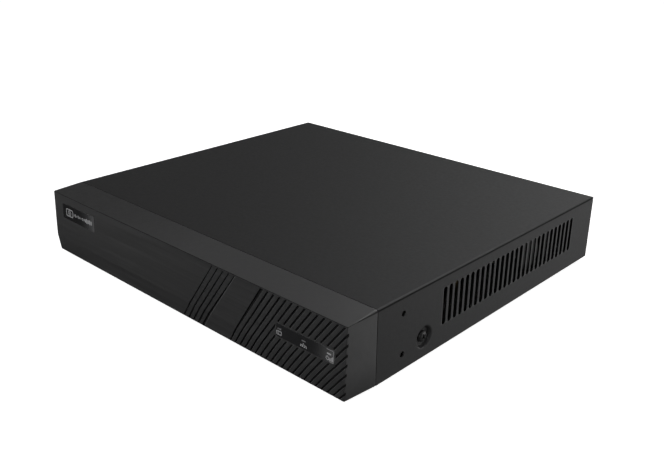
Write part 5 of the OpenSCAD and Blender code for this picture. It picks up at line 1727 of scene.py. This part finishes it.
def make_rear_marks():
    """Plain signs beside the rear sockets, with no lettering."""
    bm = bmesh.new()

    def mark(outline, x, z):
        add_prism(bm, shifted(outline, x, z), PANEL_OUT - 0.02, PANEL_OUT + INK, "y")

    def middle_x(node):
        return middle_of(place_of(node)).x

    rows = sorted({round(middle_of(solid).z, 2) for solid in solids_of("video_shells_1")})
    for column in range(1, 5):
        x = middle_of(solids_of(f"video_shells_{column}")[0]).x
        for z, dots in zip(rows, (column, column + 4)):
            for i in range(dots):
                mark(rounded(0.8, 0.8, 0.39, 3), x + (i - (dots - 1) / 2) * 1.3, z + 7.5)
    inward, outward = [(0.6, 0.9), (2.2, 0), (0.6, -0.9)], [(-2.2, 0.9), (-3.8, 0), (-2.2, -0.9)]
    for z, arrow in zip(rows, (inward, outward)):
        mark(stroke([(-2.6, 0), (0.8, 0)], 0.4), middle_x("audio_shells"), z + 7)
        mark(arrow, middle_x("audio_shells"), z + 7)
    for x, z in ((middle_x("vga_socket"), 23.6), (middle_x("hdmi_socket"), 19)):
        mark(closed_stroke(rounded(4.2, 2.8, 0.4), 0.35), x, z)
        mark(rounded(0.5, 0.8, 0.1, 2), x, z - 1.8)
        mark(rounded(2.4, 0.4, 0.1, 2), x, z - 2.3)
    lan_x = middle_x("lan_socket")
    for u, v in ((0, 1.3), (-1.6, -1), (1.6, -1)):
        mark(rounded(1.3, 1, 0.1, 2), lan_x + u, 24.4 + v)
    mark(stroke([(-1.6, 0.1), (1.6, 0.1)], 0.3), lan_x, 24.4)
    usb_x = middle_x("usb_socket")
    mark(closed_stroke(rounded(2.6, 2, 0.2, 2), 0.3), usb_x, 26.2)
    mark(rounded(1.6, 1.1, 0.1, 2), usb_x + 2.2, 26.2)
    inlet_x = middle_x("power_inlet")
    mark(rounded(3.6, 0.4, 0.1, 2), inlet_x, 20.6)
    for u in (-1.35, 0, 1.35):
        mark(rounded(0.9, 0.4, 0.1, 2), inlet_x + u, 19.7)
    earth = middle_of(place_of("earth_screw"))
    mark(rounded(0.4, 1.4, 0.1, 2), earth.x, earth.z + 6.4)
    for i, wide in enumerate((3.2, 2.2, 1.2)):
        mark(rounded(wide, 0.4, 0.1, 2), earth.x, earth.z + 5.6 - 0.75 * i)
    piece("rear_signs", bm, "print_grey")


# Stage --------------------------------------------------------------------------------------------

STAGE_GREY = (0.9, 0.9, 0.9)
LOOK_AT = Vector((0, 0, 0.02))
# Each light: name, place, size in metres, power in watts
LIGHTS = [
    ("right", (0.8, 0.6, 0.02), (0.5, 0.3), 3.1),
    ("low_right", (0.6, 0.6, -0.35), (0.5, 0.4), 0.42),
    ("back_low", (0, 1.0, 0.4), (0.6, 0.25), 0.74),
    ("back_high", (-0.1, 0.7, 0.8), (0.6, 0.4), 3.1),
    ("front", (0.3, -1.0, 0.25), (0.8, 0.5), 3.18),
    ("front_left", (-0.6, -0.7, 0.1), (0.8, 0.4), 1.13),
    ("front_high", (0.3, -0.8, 0.9), (0.6, 0.5), 1.18),
    ("rear_fill", (-0.15, 1.1, -0.12), (0.9, 0.4), 4.0),
    ("left_fill", (-1.1, 0.25, -0.1), (0.9, 0.4), 2.5),
    ("below", (-0.3, 0.5, -0.9), (0.8, 0.8), 4.0),
]


def stage_object(name, bm, glow):
    """A floor or backdrop that only the camera sees, so that it lights nothing."""
    obj = put_in_scene(name, to_mesh(bm, name))
    made = Finish(name, STAGE_GREY, 0.9, Emission_Color=(1, 1, 1, 1), Emission_Strength=glow)
    made.tint(made.noise(300, 2), 0.1, (0.95, 0.95, 0.95))
    obj.data.materials.append(made.material)
    for ray in ("diffuse", "glossy", "transmission", "shadow"):
        setattr(obj, "visible_" + ray, False)
    return obj


def see_through_below(obj):
    """Lets the underside of the recorder show through the back of the floor."""
    obj.location.z = -0.1 * MM
    tree = obj.data.materials[0].node_tree
    side = tree.nodes.new("ShaderNodeNewGeometry")
    clear, mix = tree.nodes.new("ShaderNodeBsdfTransparent"), tree.nodes.new("ShaderNodeMixShader")
    tree.links.new(side.outputs["Backfacing"], mix.inputs["Fac"])
    tree.links.new(tree.nodes["Principled BSDF"].outputs["BSDF"], mix.inputs[1])
    tree.links.new(clear.outputs["BSDF"], mix.inputs[2])
    tree.links.new(mix.outputs["Shader"], tree.nodes["Material Output"].inputs["Surface"])


def make_stage():
    floor, dome = bmesh.new(), bmesh.new()
    bmesh.ops.create_grid(floor, x_segments=1, y_segments=1, size=8)
    see_through_below(stage_object("floor", floor, 0.9))
    bmesh.ops.create_uvsphere(dome, u_segments=48, v_segments=24, radius=7.5)
    stage_object("backdrop", dome, 1.0)


def make_sky():
    """A white sky that is brighter overhead."""
    world = bpy.data.worlds.new("studio")
    world.use_nodes = True
    tree = world.node_tree
    sky = tree.nodes["Background"]
    facing = tree.nodes.new("ShaderNodeTexCoord")
    split = tree.nodes.new("ShaderNodeSeparateXYZ")
    ramp = tree.nodes.new("ShaderNodeMapRange")
    ramp.inputs["To Min"].default_value = 0.04
    ramp.inputs["To Max"].default_value = 0.18
    tree.links.new(facing.outputs["Generated"], split.inputs["Vector"])
    tree.links.new(split.outputs["Z"], ramp.inputs["Value"])
    tree.links.new(ramp.outputs["Result"], sky.inputs["Strength"])
    sky.inputs["Color"].default_value = (1, 1, 1, 1)
    bpy.context.scene.world = world


def make_lights():
    for name, place, size, watts in LIGHTS:
        data = bpy.data.lights.new(name, "AREA")
        data.shape = "RECTANGLE"
        data.size, data.size_y = size
        data.energy = watts
        obj = put_in_scene(name, data)
        obj.location = place
        obj.rotation_euler = (LOOK_AT - Vector(place)).to_track_quat("-Z", "Y").to_euler()
        obj.visible_camera = False


def make_camera():
    data = bpy.data.cameras.new("camera")
    data.sensor_width = 36
    data.lens = 44.013
    data.clip_start, data.clip_end = 0.01, 50
    obj = put_in_scene("camera", data)
    turn, rise, roll = math.radians(43.059), math.radians(22.881), math.radians(0.528)
    back = Vector((math.sin(turn) * math.cos(rise), -math.cos(turn) * math.cos(rise), math.sin(rise)))
    right = Vector((math.cos(turn), math.sin(turn), 0))
    up = back.cross(right)
    right_rolled = right * math.cos(roll) + up * math.sin(roll)
    up_rolled = up * math.cos(roll) - right * math.sin(roll)
    obj.matrix_world = (Matrix.Translation((0.34357, -0.36311, 0.22486))
                        @ Matrix((right_rolled, up_rolled, back)).transposed().to_4x4())
    bpy.context.scene.camera = obj


bpy.context.scene.view_settings.view_transform = "Standard"
make_camera()
make_stage()
make_sky()
make_lights()
make_bezel()
make_plates()
make_cover()
make_cover_screws()
make_feet()
make_board_parts()
make_capacitors()
make_header_pins()
make_rotor()
make_drive_label()
make_spindle_cap()
make_data_cable()
make_power_cable()
make_ribbon()
make_fan_lead()
make_video_sockets()
make_audio_sockets()
make_vga_socket()
make_hdmi_socket()
make_lan_socket()
make_usb_socket()
make_power_inlet()
make_rear_marks()
dress_kept_nodes()
